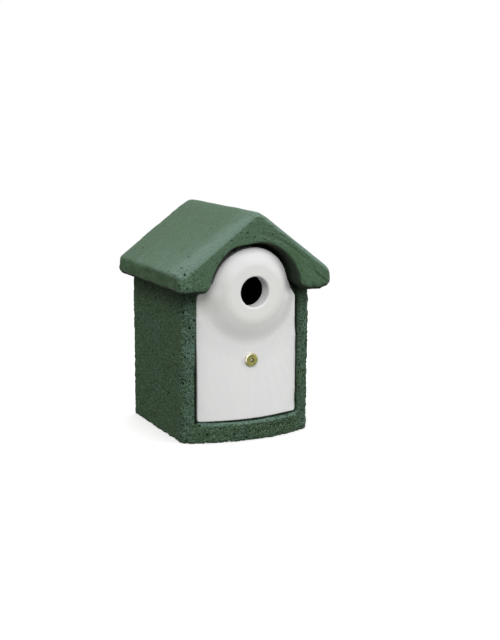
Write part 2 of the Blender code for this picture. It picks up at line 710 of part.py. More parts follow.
def build_hanger_bracket(material):
    """Bent strap that stands off the back, with a hole for the nail."""
    outer = hanger_line(HANGER_STRIP_THICKNESS)
    inner = hanger_line(0)
    tight = HANGER_BEND_RADIUS - HANGER_STRIP_THICKNESS
    wide = HANGER_BEND_RADIUS
    corners = outer + list(reversed(inner))
    outer_radii = [0, tight, wide, wide, tight, 0]
    inner_radii = [0, wide, tight, tight, wide, 0]
    outline = rounded_outline(corners, outer_radii + inner_radii)
    low = HANGER_HEIGHT - HANGER_STRIP_WIDTH / 2
    high = HANGER_HEIGHT + HANGER_STRIP_WIDTH / 2
    shape = lofted_mesh([[(x, y, z) for x, y in outline] for z in (low, high)])
    bracket = link_object("hanger_bracket", shape, material)
    nail = NAIL_HOLE_DIAMETER / 2
    nail_hole = turned_along_y(
        [(nail, ROOF_BACK_Y - HANGER_STRIP_THICKNESS - OVERRUN), (nail, ROOF_BACK_Y + OVERRUN)],
        BOLT_STEPS,
        0,
        HANGER_HEIGHT,
    )
    combine(bracket, "nail_hole", nail_hole, "DIFFERENCE")
    screw = SCREW_DIAMETER / 2 + TOUCH_GAP
    for side, x in screw_places():
        hole = turned_along_y(
            [(screw, BODY_BACK_Y - OVERRUN), (screw, BODY_BACK_Y + OVERRUN)], SMALL_STEPS, x, HANGER_HEIGHT
        )
        combine(bracket, f"screw_hole_{side}", hole, "DIFFERENCE")
    settle(bracket)
    smooth(bracket, CASTING_SMOOTH_ANGLE)


def build_hanger_screw(side, x, material):
    """Pan head screw with a cross recess."""
    shank = SCREW_DIAMETER / 2
    head = SCREW_HEAD_DIAMETER / 2
    seat_y = BODY_BACK_Y + TOUCH_GAP + HANGER_STRIP_THICKNESS + TOUCH_GAP
    top_y = seat_y + SCREW_HEAD_THICKNESS
    place = (x, seat_y, HANGER_HEIGHT)
    profile = [
        (shank * SCREW_TIP_SHARE, seat_y - SCREW_LENGTH),
        (shank, seat_y - SCREW_LENGTH + SCREW_DIAMETER),
        (shank, seat_y),
        (head, seat_y),
    ]
    for across_share, height_share in SCREW_CROWN_SHARES:
        profile.append((head * across_share, seat_y + SCREW_HEAD_THICKNESS * height_share))
    shape = turned_along_y(profile, SMALL_STEPS, x, HANGER_HEIGHT)
    screw = link_object(f"hanger_screw_{side}", shape, material, place)
    half_long = SCREW_SLOT_LENGTH / 2
    half_thin = SCREW_SLOT_WIDTH / 2
    slot_floor = top_y - SCREW_SLOT_DEPTH
    cross = [
        (half_thin, half_long),
        (-half_thin, half_long),
        (-half_thin, half_thin),
        (-half_long, half_thin),
        (-half_long, -half_thin),
        (-half_thin, -half_thin),
        (-half_thin, -half_long),
        (half_thin, -half_long),
        (half_thin, -half_thin),
        (half_long, -half_thin),
        (half_long, half_thin),
        (half_thin, half_thin),
    ]
    outline = [(x + dx, HANGER_HEIGHT + dz) for dx, dz in cross]
    combine(screw, f"cross_recess_{side}", prism_along_y(outline, slot_floor, top_y + OVERRUN), "DIFFERENCE")
    settle(screw)
    smooth(screw, METAL_SMOOTH_ANGLE)


def build_hanger_plug(side, x, material):
    """Plastic plug in the back wall, open at both ends."""
    bore = SCREW_DIAMETER / 2 + TOUCH_GAP
    outer = PLUG_DIAMETER / 2
    mouth_y = BODY_BACK_Y
    end_y = mouth_y - PLUG_LENGTH
    profile = [(bore, mouth_y), (outer, mouth_y), (outer, end_y), (bore, end_y)]
    shape = turned_along_y(profile, SMALL_STEPS, x, HANGER_HEIGHT, capped=False)
    link_object(f"hanger_plug_{side}", shape, material, (x, mouth_y, HANGER_HEIGHT), METAL_SMOOTH_ANGLE)


def main():
    """Build every piece of the nest box."""
    remove_scene_objects()
    rough_green = make_material("rough_green_woodcrete", (0.046, 0.078, 0.045), 0.95)
    smooth_green = make_material("smooth_green_woodcrete", (0.105, 0.175, 0.115), 0.70)
    pale_coat = make_material("pale_mineral_coat", (0.66, 0.66, 0.65), 0.85)
    yellow_zinc = make_material("yellow_zinc", (0.42, 0.38, 0.17), 0.38, 1.0)
    bright_steel = make_material("galvanised_steel", (0.56, 0.57, 0.58), 0.42, 1.0)
    grey_plastic = make_material("grey_plastic", (0.32, 0.32, 0.33), 0.55)

    build_body_shell(rough_green)
    build_roof(smooth_green)
    panel_seat = make_pivot("front_seat", (0, FRONT_BACK_Y, FRONT_FOOT_Z))
    build_front_panel(pale_coat, panel_seat)
    build_latch((yellow_zinc, bright_steel), panel_seat)
    build_hanger_bracket(bright_steel)
    for side, x in screw_places():
        build_hanger_screw(side, x, bright_steel)
        build_hanger_plug(side, x, grey_plastic)


if __name__ == "__main__":
    main()
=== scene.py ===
"""Cast woodcrete nest box with a lift-off front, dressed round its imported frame."""

import logging
import math
from dataclasses import dataclass
from enum import Enum
from functools import cache
from typing import Any, Callable, Iterator, Optional, Sequence, Union

import bmesh
import bpy
import numpy as np
from mathutils import Euler, Matrix, Vector


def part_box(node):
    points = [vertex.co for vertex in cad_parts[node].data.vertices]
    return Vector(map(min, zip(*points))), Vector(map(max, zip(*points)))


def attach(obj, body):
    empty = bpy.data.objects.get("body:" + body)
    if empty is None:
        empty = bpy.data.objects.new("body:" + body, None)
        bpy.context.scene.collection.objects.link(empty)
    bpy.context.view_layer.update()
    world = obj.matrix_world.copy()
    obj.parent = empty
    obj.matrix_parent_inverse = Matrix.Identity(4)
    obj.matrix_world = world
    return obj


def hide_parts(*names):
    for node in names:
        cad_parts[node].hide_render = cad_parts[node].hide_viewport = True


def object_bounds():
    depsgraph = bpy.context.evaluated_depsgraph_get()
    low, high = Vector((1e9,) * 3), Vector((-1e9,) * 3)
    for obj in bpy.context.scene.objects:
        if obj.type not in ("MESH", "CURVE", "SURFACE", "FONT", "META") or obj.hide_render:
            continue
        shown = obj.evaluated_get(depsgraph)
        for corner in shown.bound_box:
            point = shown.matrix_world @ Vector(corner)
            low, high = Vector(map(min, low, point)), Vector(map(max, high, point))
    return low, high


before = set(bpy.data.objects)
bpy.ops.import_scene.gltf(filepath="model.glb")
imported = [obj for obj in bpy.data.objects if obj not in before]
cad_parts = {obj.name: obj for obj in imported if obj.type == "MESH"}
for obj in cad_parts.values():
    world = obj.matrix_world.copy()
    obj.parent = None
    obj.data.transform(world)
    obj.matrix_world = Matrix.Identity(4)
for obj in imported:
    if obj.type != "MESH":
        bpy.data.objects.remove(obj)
CAD_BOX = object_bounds()

LOG = logging.getLogger("nest_box")
MILLIMETRE = 0.001
SEAM = 0.003 * MILLIMETRE
HOLLOW = "hollow"
# Rubbed paint, and the painted sheen and highlights.
RUBBED_AND_HIGHLIGHT = "rubbed_and_highlight"
# Painted shade in gaps, recesses and under overhangs, with some real grime and stain.
GRIME_AND_SHADE = "grime_and_shade"
WORN = "worn"

Colour = tuple[float, float, float]
Point = tuple[float, float, float]
Span = tuple[float, float]
Array = np.ndarray
Coat = tuple["Wire", Colour]
Mark = tuple[float, float, float, float]


class Part(Enum):
    """What is picked on a mesh in edit mode."""

    CORNERS = "VERT"
    EDGES = "EDGE"
    FACES = "FACE"


class Joinery(Enum):
    """How one solid acts on another."""

    CUT = "DIFFERENCE"
    TRIM = "INTERSECT"
    WELD = "UNION"


# Finishes


def arithmetic(operation: str, swapped: bool = False) -> Callable[["Wire", Any], "Wire"]:
    """Makes the method behind one Python operator.

    Args:
        operation: what the Math node does.
        swapped: whether the wire stands behind the operator.

    Returns:
        The method.
    """

    def method(self: "Wire", other: Any) -> "Wire":
        """Adds one Math node."""
        first, second = (other, self) if swapped else (self, other)
        return self.board.node("Math", {"operation": operation}, {0: first, 1: second})

    return method


class Wire:
    """The output of a node, with arithmetic written as Python expressions."""

    __add__ = arithmetic("ADD")
    __radd__ = arithmetic("ADD", swapped=True)
    __sub__ = arithmetic("SUBTRACT")
    __rsub__ = arithmetic("SUBTRACT", swapped=True)
    __mul__ = arithmetic("MULTIPLY")
    __rmul__ = arithmetic("MULTIPLY", swapped=True)

    def __init__(self, board: "Board", socket: bpy.types.NodeSocket) -> None:
        """Keeps the socket and the board that it lies on."""
        self.board = board
        self.socket = socket

    def above(self, low: float, high: float) -> "Wire":
        """A soft step.

        Args:
            low: the value where the step starts at 0.
            high: the value where it reaches 1.

        Returns:
            The step, from 0 to 1.
        """
        settings = {"interpolation_type": "SMOOTHSTEP"}
        return self.board.node("MapRange", settings, {0: self, 1: low, 2: high, 3: 0.0, 4: 1.0})

    def below(self, low: float, high: float) -> "Wire":
        """A soft step down, 1 under low and 0 over high."""
        return 1 - self.above(low, high)


class Board:
    """The node tree of one material or of the world."""

    def __init__(self, owner: Union[bpy.types.Material, bpy.types.World]) -> None:
        """Clears the owner's nodes."""
        owner.use_nodes = True
        self.owner = owner
        self.tree = owner.node_tree
        self.tree.nodes.clear()

    def node(
        self,
        kind: str,
        settings: Optional[dict[str, Any]] = None,
        values: Optional[dict[Union[int, str], Any]] = None,
        output: Union[int, str] = 0,
    ) -> Wire:
        """Adds one node.

        Args:
            kind: the node's type without its ShaderNode prefix.
            settings: the node's own settings, set first.
            values: numbers, colours or wires for its input sockets.
            output: the output socket that the wire starts at.

        Returns:
            The wire from that output.
        """
        made = self.tree.nodes.new(f"ShaderNode{kind}")
        for word, value in (settings or {}).items():
            setattr(made, word, value)
        for key, value in (values or {}).items():
            socket = made.inputs[key]
            if isinstance(value, Wire):
                self.tree.links.new(value.socket, socket)
            elif isinstance(value, tuple) and socket.type == "RGBA":
                socket.default_value = (*value, 1.0)
            else:
                socket.default_value = value
        return Wire(self, made.outputs[output])

    def place(self) -> Wire:
        """The place on the object, in its own metres."""
        return self.node("TexCoord", output="Object")

    def stretched(self, place: Wire, shares: Point) -> Wire:
        """The place with its axes scaled, for grain that runs one way."""
        return self.node("Mapping", None, {"Vector": place, "Scale": shares})

    def noise(self, place: Wire, size: float, detail: float = 3.0, rough: float = 0.5) -> Wire:
        """Cloudy noise.

        Args:
            place: where it is read.
            size: the width of one cloud in metres.
            detail: how many finer layers it has.
            rough: how strong they are.

        Returns:
            Values about 0.5.
        """
        values = {"Vector": place, "Scale": 1 / size, "Detail": detail, "Roughness": rough}
        return self.node("TexNoise", {"noise_dimensions": "3D"}, values)

    def cells(self, place: Wire, size: float, output: str = "Distance") -> Wire:
        """Scattered cells of a width in metres, read as distance or colour."""
        return self.node("TexVoronoi", None, {"Vector": place, "Scale": 1 / size}, output)

    def tints(self, place: Wire, size: float) -> Wire:
        """A share from 0 to 1 that is one throughout each cell."""
        return self.node("SeparateColor", None, {0: self.cells(place, size, "Color")})

    def specks(self, place: Wire, size: float, radius: float, keep: float) -> Wire:
        """Scattered round specks.

        Args:
            place: where they are read.
            size: the mean distance between places for a speck.
            radius: the radius of a speck in metres.
            keep: the share of the places that hold one.

        Returns:
            1 in a speck and 0 outside it.
        """
        inside = self.cells(place, size).below(0.4 * radius / size, radius / size)
        return inside * self.tints(place, size).below(keep - 0.01, keep)

    def carved(self, name: str, low: float, high: float) -> Wire:
        """A measure that a casting keeps of each point of its relief.

        Args:
            name: HOLLOW, RUBBED_AND_HIGHLIGHT, GRIME_AND_SHADE or WORN.
            low: the measure that gives 0.
            high: the measure that gives 1.

        Returns:
            The share, from 0 to 1.
        """
        return self.node("Attribute", {"attribute_name": name}, None, "Fac").above(low, high)

    def blend(self, share: Any, first: Any, second: Any) -> Wire:
        """Mixes two colours by a share."""
        return self.node("Mix", {"data_type": "RGBA"}, {0: share, 6: first, 7: second}, 2)

    def coated(self, base: Colour, *coats: Coat) -> Wire:
        """Lays coats of colour over a base.

        Args:
            base: the colour underneath.
            coats: the share and the colour of each coat, from the bottom up.

        Returns:
            The colour on top.
        """
        for share, colour in coats:
            base = self.blend(share, base, colour)
        return base

    def bump(self, height: Wire, depth: float) -> Wire:
        """A relief in the shading, for a height from 0 to 1 and a depth in metres."""
        return self.node("Bump", None, {"Strength": 1.0, "Distance": depth, "Height": height})

    def surface(self, **values: Any) -> bpy.types.Material:
        """Ends the board in one shader.

        Args:
            values: the shader's sockets, with _ for each space in their names.

        Returns:
            The finished material.
        """
        sockets = {word.replace("_", " "): value for word, value in values.items()}
        shader = self.node("BsdfPrincipled", None, sockets)
        self.finish(shader)
        return self.owner

    def finish(self, shader: Wire) -> None:
        """Joins a shader to the output."""
        kind = "OutputWorld" if isinstance(self.owner, bpy.types.World) else "OutputMaterial"
        end = self.tree.nodes.new(f"ShaderNode{kind}")
        self.tree.links.new(shader.socket, end.inputs["Surface"])


@dataclass(frozen=True)
class Finish:
    """A surface finish, which becomes one material."""

    slot: str

    def board(self) -> Board:
        """An empty board for this finish."""
        return Board(bpy.data.materials.new(f"{self.slot}_finish"))

    def material(self) -> bpy.types.Material:
        """The finished material."""
        raise NotImplementedError

    @cache
    def mixed(self) -> bpy.types.Material:
        """The material, which is mixed once and shared."""
        return self.material()


@dataclass(frozen=True)
class Speckle:
    """Light and dark specks of one noise, in strengths for sound and for worn places."""

    size: float
    detail: float
    rough: float
    light_steps: Span
    light_sound: float
    light_worn: float
    dark_steps: Span
    dark_sound: float
    dark_worn: float

    def noise(self, board: Board, place: Wire) -> Wire:
        """The noise that places the specks."""
        return board.noise(place, self.size, self.detail, self.rough)

    def coats(self, noise: Wire, worn: Wire, light: Colour, dark: Colour) -> tuple[Coat, Coat]:
        """The coat of light specks and the coat of dark ones.

        Args:
            noise: places the specks.
            worn: how worn the surface is, from 0 to 1.
            light: the colour of the light specks.
            dark: the colour of the dark specks.

        Returns:
            The two coats.
        """
        lit = noise.above(*self.light_steps) * (worn * self.light_worn + self.light_sound)
        shaded = noise.below(*self.dark_steps) * (worn * self.dark_worn + self.dark_sound)
        return (lit, light), (shaded, dark)


@dataclass(frozen=True)
class RoughWoodcrete(Finish):
    """Cast woodcrete as the mould leaves it: grainy, open pored and dark green."""

    slot: str = "rough_green_woodcrete"
    tone: Colour = (0.060, 0.106, 0.059)
    olive: Colour = (0.063, 0.099, 0.047)
    pale: Colour = (0.098, 0.172, 0.130)
    bare_and_highlight: Colour = (0.155, 0.242, 0.196)
    hollow: Colour = (0.006, 0.011, 0.006)
    drawn: Point = (1.0, 0.55, 1.0)
    cloud: float = 0.034
    cloud_share: float = 0.6
    chip: float = 0.0021
    nick: float = 0.0023
    nick_radius: float = 0.0010
    grain: Speckle = Speckle(0.0015, 5.0, 0.68, (0.52, 0.68), 0.36, 0.55, (0.34, 0.48), 0.85, 0.0)
    dust: Speckle = Speckle(0.0010, 2.0, 0.60, (0.53, 0.66), 0.38, 0.25, (0.36, 0.49), 0.75, 0.18)
    pore: float = 0.0032
    pore_radius: float = 0.0007
    bump_depth: float = 1.2 * MILLIMETRE
    roughness: float = 0.94
    gloss: float = 0.03

    def material(self) -> bpy.types.Material:
        """The finished material."""
        board = self.board()
        place = board.stretched(board.place(), self.drawn)
        clouds = board.noise(place, self.cloud, 3.0).above(0.36, 0.64)
        grain = self.grain.noise(board, place)
        dust = self.dust.noise(board, place)
        chips = board.tints(place, self.chip)
        pores = board.specks(place, self.pore, self.pore_radius, 0.45)
        nicks = board.specks(place, self.nick, self.nick_radius, 0.80)
        rubbed_and_highlight = board.carved(RUBBED_AND_HIGHLIGHT, 0.0, 1.0)
        worn = board.carved(WORN, 0.0, 1.0)
        colour = board.coated(
            self.tone,
            (clouds * self.cloud_share, self.olive),
            # Painted shadow under the eaves and painted shade in the gaps round the front, first tinted
            # olive.
            (board.carved(GRIME_AND_SHADE, 0.0, 0.5) * 0.8, self.olive),
            (rubbed_and_highlight * 0.80, self.pale),
            (board.carved(RUBBED_AND_HIGHLIGHT, 1.0, 2.0) * 0.9, self.bare_and_highlight),
            (chips.above(0.75, 0.95) * (rubbed_and_highlight * 0.16 + 0.08), self.bare_and_highlight),
            *self.grain.coats(grain, worn, self.bare_and_highlight, self.hollow),
            *self.dust.coats(dust, worn, self.bare_and_highlight, self.hollow),
            (pores * 0.80, self.hollow),
            (nicks * worn * 0.95, self.hollow),
            # Painted shade and dirt in the pits, darker where they are deeper.
            (board.carved(HOLLOW, 0.25, 1.0) * 0.85, self.hollow),
            # The same painted shadow and shade, darkened at full strength.
            (board.carved(GRIME_AND_SHADE, 0.0, 1.0), self.hollow),
        )
        return board.surface(
            Base_Color=colour,
            Roughness=self.roughness,
            Specular_IOR_Level=self.gloss,
            Normal=board.bump(grain * 0.9 + chips * 0.2 - pores * 0.7, self.bump_depth),
        )


@dataclass(frozen=True)
class SmoothWoodcrete(Finish):
    """Painted woodcrete of the roof: satin, faintly brushed, with scattered pinholes."""

    slot: str = "smooth_green_woodcrete"
    tone: Colour = (0.060, 0.108, 0.066)
    fresh: Colour = (0.066, 0.118, 0.070)
    # The worn colour is also that of the painted sheen on the slopes behind the front edge.
    worn: Colour = (0.114, 0.178, 0.138)
    hollow: Colour = (0.010, 0.018, 0.011)
    # The shade colour is that of the painted shade, and olive tints it where it is faint, as on the
    # fascias.
    shade: Colour = (0.019, 0.020, 0.016)
    olive: Colour = (0.054, 0.113, 0.048)
    drawn: Point = (1.0, 0.50, 1.0)
    cloud: float = 0.022
    pinhole: float = 0.0100
    pinhole_radius: float = 0.0006
    nick: float = 0.0031
    nick_radius: float = 0.0008
    grain: Speckle = Speckle(0.0014, 4.0, 0.65, (0.54, 0.70), 0.36, 0.50, (0.32, 0.46), 0.35, 0.45)
    dust: Speckle = Speckle(0.0010, 2.0, 0.60, (0.54, 0.68), 0.50, 0.15, (0.36, 0.48), 0.28, 0.20)
    bump_depth: float = 0.40 * MILLIMETRE
    roughness: float = 0.42
    gloss: float = 0.05

    def material(self) -> bpy.types.Material:
        """The finished material."""
        board = self.board()
        place = board.stretched(board.place(), self.drawn)
        clouds = board.noise(place, self.cloud, 5.0, 0.6).above(0.36, 0.64)
        grain = self.grain.noise(board, place)
        dust = self.dust.noise(board, place)
        holes = board.specks(place, self.pinhole, self.pinhole_radius, 0.30)
        nicks = board.specks(place, self.nick, self.nick_radius, 0.65)
        worn = board.carved(WORN, 0.0, 1.0)
        grime_and_shade = board.carved(GRIME_AND_SHADE, 0.0, 1.0)
        # Olive tint of the faint painted shade, as on the fascias.
        olive_shade = board.carved(GRIME_AND_SHADE, 0.0, 0.30) - board.carved(GRIME_AND_SHADE, 0.42, 0.60)
        colour = board.coated(
            self.tone,
            (clouds, self.fresh),
            (olive_shade * 0.9, self.olive),
            # Painted sheen behind the front edge, with rubbed paint on the corner.
            (board.carved(RUBBED_AND_HIGHLIGHT, 0.0, 1.0), self.worn),
            *self.grain.coats(grain, worn, self.worn, self.hollow),
            *self.dust.coats(dust, worn, self.worn, self.hollow),
            (holes * 0.8, self.hollow),
            (nicks * worn * 0.9, self.hollow),
            # Painted shade and dirt in the pits, darker where they are deeper.
            (board.carved(HOLLOW, 0.10, 0.70) * 0.92, self.hollow),
            # Painted shade in the arch's reveal, under the eaves and on the fascias.
            (grime_and_shade, self.shade),
        )
        return board.surface(
            Base_Color=colour,
            Roughness=clouds * 0.08 + grain * 0.10 + grime_and_shade * 0.60 + self.roughness,
            Specular_IOR_Level=self.gloss,
            Normal=board.bump(grain * 0.6 - holes, self.bump_depth),
        )


@dataclass(frozen=True)
class PaleCoat(Finish):
    """Off-white mineral coat of the front: smooth and matt, with a few tiny marks."""

    slot: str = "pale_mineral_coat"
    tone: Colour = (0.757, 0.756, 0.771)
    cool: Colour = (0.738, 0.739, 0.755)
    # Colour of the painted shade on the front, with a faint warm stain.
    stain_and_shade: Colour = (0.576, 0.578, 0.538)
    speck: Colour = (0.300, 0.290, 0.270)
    cloud: float = 0.026
    grain: float = 0.0009
    speck_spacing: float = 0.011
    speck_radius: float = 0.00045
    bubble_spacing: float = 0.014
    bubble_radius: float = 0.0009
    bump_depth: float = 0.25 * MILLIMETRE
    roughness: float = 0.56
    gloss: float = 0.35

    def material(self) -> bpy.types.Material:
        """The finished material."""
        board = self.board()
        place = board.place()
        clouds = board.noise(place, self.cloud, 4.0).above(0.3, 0.7)
        grain = board.noise(place, self.grain, 2.0)
        specks = board.specks(place, self.speck_spacing, self.speck_radius, 0.22)
        bubbles = board.specks(place, self.bubble_spacing, self.bubble_radius, 0.20)
        colour = board.coated(
            self.tone,
            (clouds, self.cool),
            # Painted shade on the collar and over the front, with a faint warm stain.
            (board.carved(GRIME_AND_SHADE, 0.0, 1.0), self.stain_and_shade),
            (specks * 0.55, self.speck),
        )
        return board.surface(
            Base_Color=colour,
            Roughness=clouds * 0.10 + self.roughness,
            Specular_IOR_Level=self.gloss,
            Normal=board.bump(grain * 0.10 + bubbles * 0.6 - specks * 0.8, self.bump_depth),
        )


@dataclass(frozen=True)
class PlatedSteel(Finish):
    """Yellow passivated zinc, with a faint change of tint and fine scratches."""

    slot: str = "yellow_zinc"
    tone: Colour = (0.24, 0.22, 0.072)
    tint: Colour = (0.16, 0.17, 0.055)
    # The painted highlight on the bolt's head.
    bare_and_highlight: Colour = (0.86, 0.82, 0.66)
    # The painted shade in the bolt's socket.
    socket_shade: Colour = (0.100, 0.055, 0.018)
    patch: float = 0.0040
    scratch: float = 0.00315
    scratch_stretch: Point = (9.0, 1.0, 1.0)
    bump_depth: float = 0.03 * MILLIMETRE
    roughness: float = 0.28

    def material(self) -> bpy.types.Material:
        """The finished material."""
        board = self.board()
        place = board.place()
        clouds = board.noise(place, self.patch, 3.0).above(0.32, 0.68)
        scratches = board.noise(board.stretched(place, self.scratch_stretch), self.scratch, 3.0, 0.7)
        colour = board.coated(
            self.tone,
            (clouds, self.tint),
            # Painted shade in the socket.
            (board.carved(GRIME_AND_SHADE, 0.0, 1.0), self.socket_shade),
            # Painted highlight on the upper left of the head's rim and on the dot in its socket.
            (board.carved(RUBBED_AND_HIGHLIGHT, 0.0, 1.0) * 0.9, self.bare_and_highlight),
        )
        return board.surface(
            Base_Color=colour,
            Metallic=1.0,
            Roughness=scratches * 0.18 + self.roughness,
            Normal=board.bump(scratches, self.bump_depth),
        )


@dataclass(frozen=True)
class GalvanisedSteel(Finish):
    """Hot dipped steel with grey spangle."""

    slot: str = "bright_steel"
    light: Colour = (0.60, 0.61, 0.62)
    dull: Colour = (0.42, 0.44, 0.45)
    spangle: float = 0.0048
    film: float = 0.0020
    bump_depth: float = 0.04 * MILLIMETRE
    roughness: float = 0.28

    def material(self) -> bpy.types.Material:
        """The finished material."""
        board = self.board()
        place = board.place()
        spangle = board.tints(place, self.spangle)
        film = board.noise(place, self.film, 4.0, 0.6)
        colour = board.blend(spangle * 0.6 + film * 0.4, self.dull, self.light)
        return board.surface(
            Base_Color=colour,
            Metallic=1.0,
            Roughness=spangle * 0.14 + film * 0.16 + self.roughness,
            Normal=board.bump(film, self.bump_depth),
        )


@dataclass(frozen=True)
class GreyPlastic(Finish):
    """Matt moulded plastic."""

    slot: str = "grey_plastic"
    tone: Colour = (0.30, 0.30, 0.31)
    rubbed_and_highlight: Colour = (0.38, 0.38, 0.39)
    grain: float = 0.0006
    patch: float = 0.0050
    bump_depth: float = 0.05 * MILLIMETRE
    roughness: float = 0.46

    def material(self) -> bpy.types.Material:
        """The finished material."""
        board = self.board()
        place = board.place()
        wear = board.noise(place, self.patch, 3.0).above(0.5, 0.7)
        return board.surface(
            Base_Color=board.blend(wear * 0.6, self.tone, self.rubbed_and_highlight),
            Roughness=wear * 0.12 + self.roughness,
            Normal=board.bump(board.noise(place, self.grain, 3.0), self.bump_depth),
        )


# The bench


class Workpiece:
    """One mesh on the bench, shaped with Blender's own operators."""

    def __init__(self, thing: bpy.types.Object) -> None:
        """Takes up an object."""
        self.thing = thing

    @classmethod
    def added(cls, name: str) -> "Workpiece":
        """Takes up the primitive that was just added, and names it."""
        thing = bpy.context.view_layer.objects.active
        thing.name = name
        thing.data.name = name
        return cls(thing)

    @classmethod
    def copy_of(cls, node: str, name: str) -> "Workpiece":
        """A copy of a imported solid, with its loose triangles merged.

        Args:
            node: the solid's name.
            name: the copy's name.

        Returns:
            The copy.
        """
        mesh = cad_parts[node].data.copy()
        mesh.materials.clear()
        thing = bpy.data.objects.new(name, mesh)
        bpy.context.scene.collection.objects.link(thing)
        return cls(thing).merge(0.002 * MILLIMETRE)

    @classmethod
    def rod(
        cls, name: str, radius: float, ends: Span, centre: Vector, sides: int = 64
    ) -> "Workpiece":
        """A cylinder along Y.

        Args:
            name: the piece's name.
            radius: its radius to the corners.
            ends: Y of its two ends.
            centre: a point on its axis.
            sides: how many sides it has.

        Returns:
            The cylinder.
        """
        clear_choice()
        bpy.ops.mesh.primitive_cylinder_add(
            vertices=sides,
            radius=radius,
            depth=ends[1] - ends[0],
            location=(centre.x, sum(ends) / 2, centre.z),
            rotation=(math.pi / 2, 0, 0),
        )
        return cls.added(name).settle()

    @classmethod
    def block(cls, name: str, low: Sequence[float], high: Sequence[float]) -> "Workpiece":
        """A box between two corners."""
        clear_choice()
        middle = [(a + b) / 2 for a, b in zip(low, high)]
        size = [b - a for a, b in zip(low, high)]
        bpy.ops.mesh.primitive_cube_add(size=1, location=middle, scale=size)
        return cls.added(name).settle()

    @classmethod
    def chain(cls, name: str, points: Sequence[Sequence[float]]) -> "Workpiece":
        """A line of edges, drawn out point by point from one corner.

        Args:
            name: the piece's name.
            points: the places in turn.

        Returns:
            The line.
        """
        clear_choice()
        bpy.ops.mesh.primitive_plane_add(size=1, location=(0, 0, 0))
        piece = cls.added(name)
        with piece.editing(Part.CORNERS):
            bpy.ops.mesh.select_all(action="SELECT")
            bpy.ops.mesh.merge(type="CENTER")
            bpy.ops.transform.translate(value=points[0])
            for before, after in zip(points, points[1:]):
                step = Vector(after) - Vector(before)
                bpy.ops.mesh.extrude_vertices_move(TRANSFORM_OT_translate={"value": step})
        return piece

    @classmethod
    def turned(
        cls, name: str, profile: Sequence[Span], axis: Vector, steps: int = 64
    ) -> "Workpiece":
        """A turned piece about an axis along Y.

        Args:
            name: the piece's name.
            profile: (radius, y) pairs, from axis to axis or round a ring.
            axis: a point on the axis.
            steps: how many facets it has round the axis.

        Returns:
            The closed, turned piece.
        """
        piece = cls.chain(name, [(axis.x + radius, y, axis.z) for radius, y in profile])
        with piece.editing(Part.CORNERS):
            bpy.ops.mesh.select_all(action="SELECT")
            bpy.ops.mesh.spin(
                steps=steps, angle=math.tau, center=(axis.x, 0, axis.z), axis=(0, 1, 0)
            )
        return piece.merge(SEAM).face_out()

    def activate(self) -> None:
        """Makes this piece the only one that is selected."""
        clear_choice()
        self.thing.select_set(True)
        bpy.context.view_layer.objects.active = self.thing

    def editing(self, part: Part = Part.FACES) -> "EditMode":
        """Edit mode on this piece, for a with block."""
        return EditMode(self, part)

    def choose(self, part: Part, test: Callable[[Any], bool]) -> int:
        """Selects in edit mode what satisfies a test.

        Args:
            part: corners, edges or faces.
            test: says whether one of them is chosen.

        Returns:
            How many are chosen.
        """
        bpy.ops.mesh.select_mode(type=part.value)
        bpy.ops.mesh.select_all(action="DESELECT")
        mesh = bmesh.from_edit_mesh(self.thing.data)
        items = {Part.CORNERS: mesh.verts, Part.EDGES: mesh.edges, Part.FACES: mesh.faces}[part]
        chosen = [item for item in items if test(item)]
        for item in chosen:
            item.select_set(True)
        mesh.select_flush_mode()
        bmesh.update_edit_mesh(self.thing.data)
        return len(chosen)

    def merge(self, distance: float) -> "Workpiece":
        """Merges the corners that lie within a distance of each other."""
        with self.editing(Part.CORNERS):
            bpy.ops.mesh.select_all(action="SELECT")
            bpy.ops.mesh.remove_doubles(threshold=distance)
        return self

    def face_out(self) -> "Workpiece":
        """Turns every face outwards."""
        with self.editing():
            bpy.ops.mesh.select_all(action="SELECT")
            bpy.ops.mesh.normals_make_consistent(inside=False)
        return self

    def bevel(self, test: Callable[[Any], bool], width: float, steps: int) -> "Workpiece":
        """Rounds the edges that satisfy a test."""
        with self.editing(Part.EDGES):
            if self.choose(Part.EDGES, test):
                bpy.ops.mesh.bevel(offset=width, segments=steps, profile=0.5, clamp_overlap=True)
        return self

    def bevel_sharp(self, width: float, angle: float = 1.0) -> "Workpiece":
        """Rounds every edge that turns by more than an angle."""
        return self.bevel(lambda edge: edge.calc_face_angle(0) > angle, width, 2)

    def modifier(self, kind: str, **settings: Any) -> "Workpiece":
        """Adds a modifier and applies it at once.

        Args:
            kind: the modifier's type.
            settings: its settings.

        Returns:
            This piece.
        """
        self.activate()
        bpy.ops.object.modifier_add(type=kind)
        made = self.thing.modifiers[-1]
        for word, value in settings.items():
            setattr(made, word, value)
        bpy.ops.object.modifier_apply(modifier=made.name)
        return self

    def work(self, tool: "Workpiece", way: Joinery = Joinery.CUT) -> "Workpiece":
        """Cuts, trims or welds with another solid, which is used up."""
        self.modifier("BOOLEAN", operation=way.value, solver="EXACT", object=tool.thing)
        bpy.data.objects.remove(tool.thing, do_unlink=True)
        return self

    def settle(self) -> "Workpiece":
        """Puts the object's place into its mesh."""
        self.activate()
        bpy.ops.object.transform_apply(location=True, rotation=True, scale=True)
        return self

    def read_points(self) -> Array:
        """The places of the corners, one in each row."""
        flat = np.empty(len(self.thing.data.vertices) * 3)
        self.thing.data.vertices.foreach_get("co", flat)
        return flat.reshape(-1, 3)

    def read_normals(self) -> Array:
        """The outward directions at the corners, one in each row."""
        flat = np.empty(len(self.thing.data.vertices) * 3)
        self.thing.data.vertex_normals.foreach_get("vector", flat)
        return flat.reshape(-1, 3)

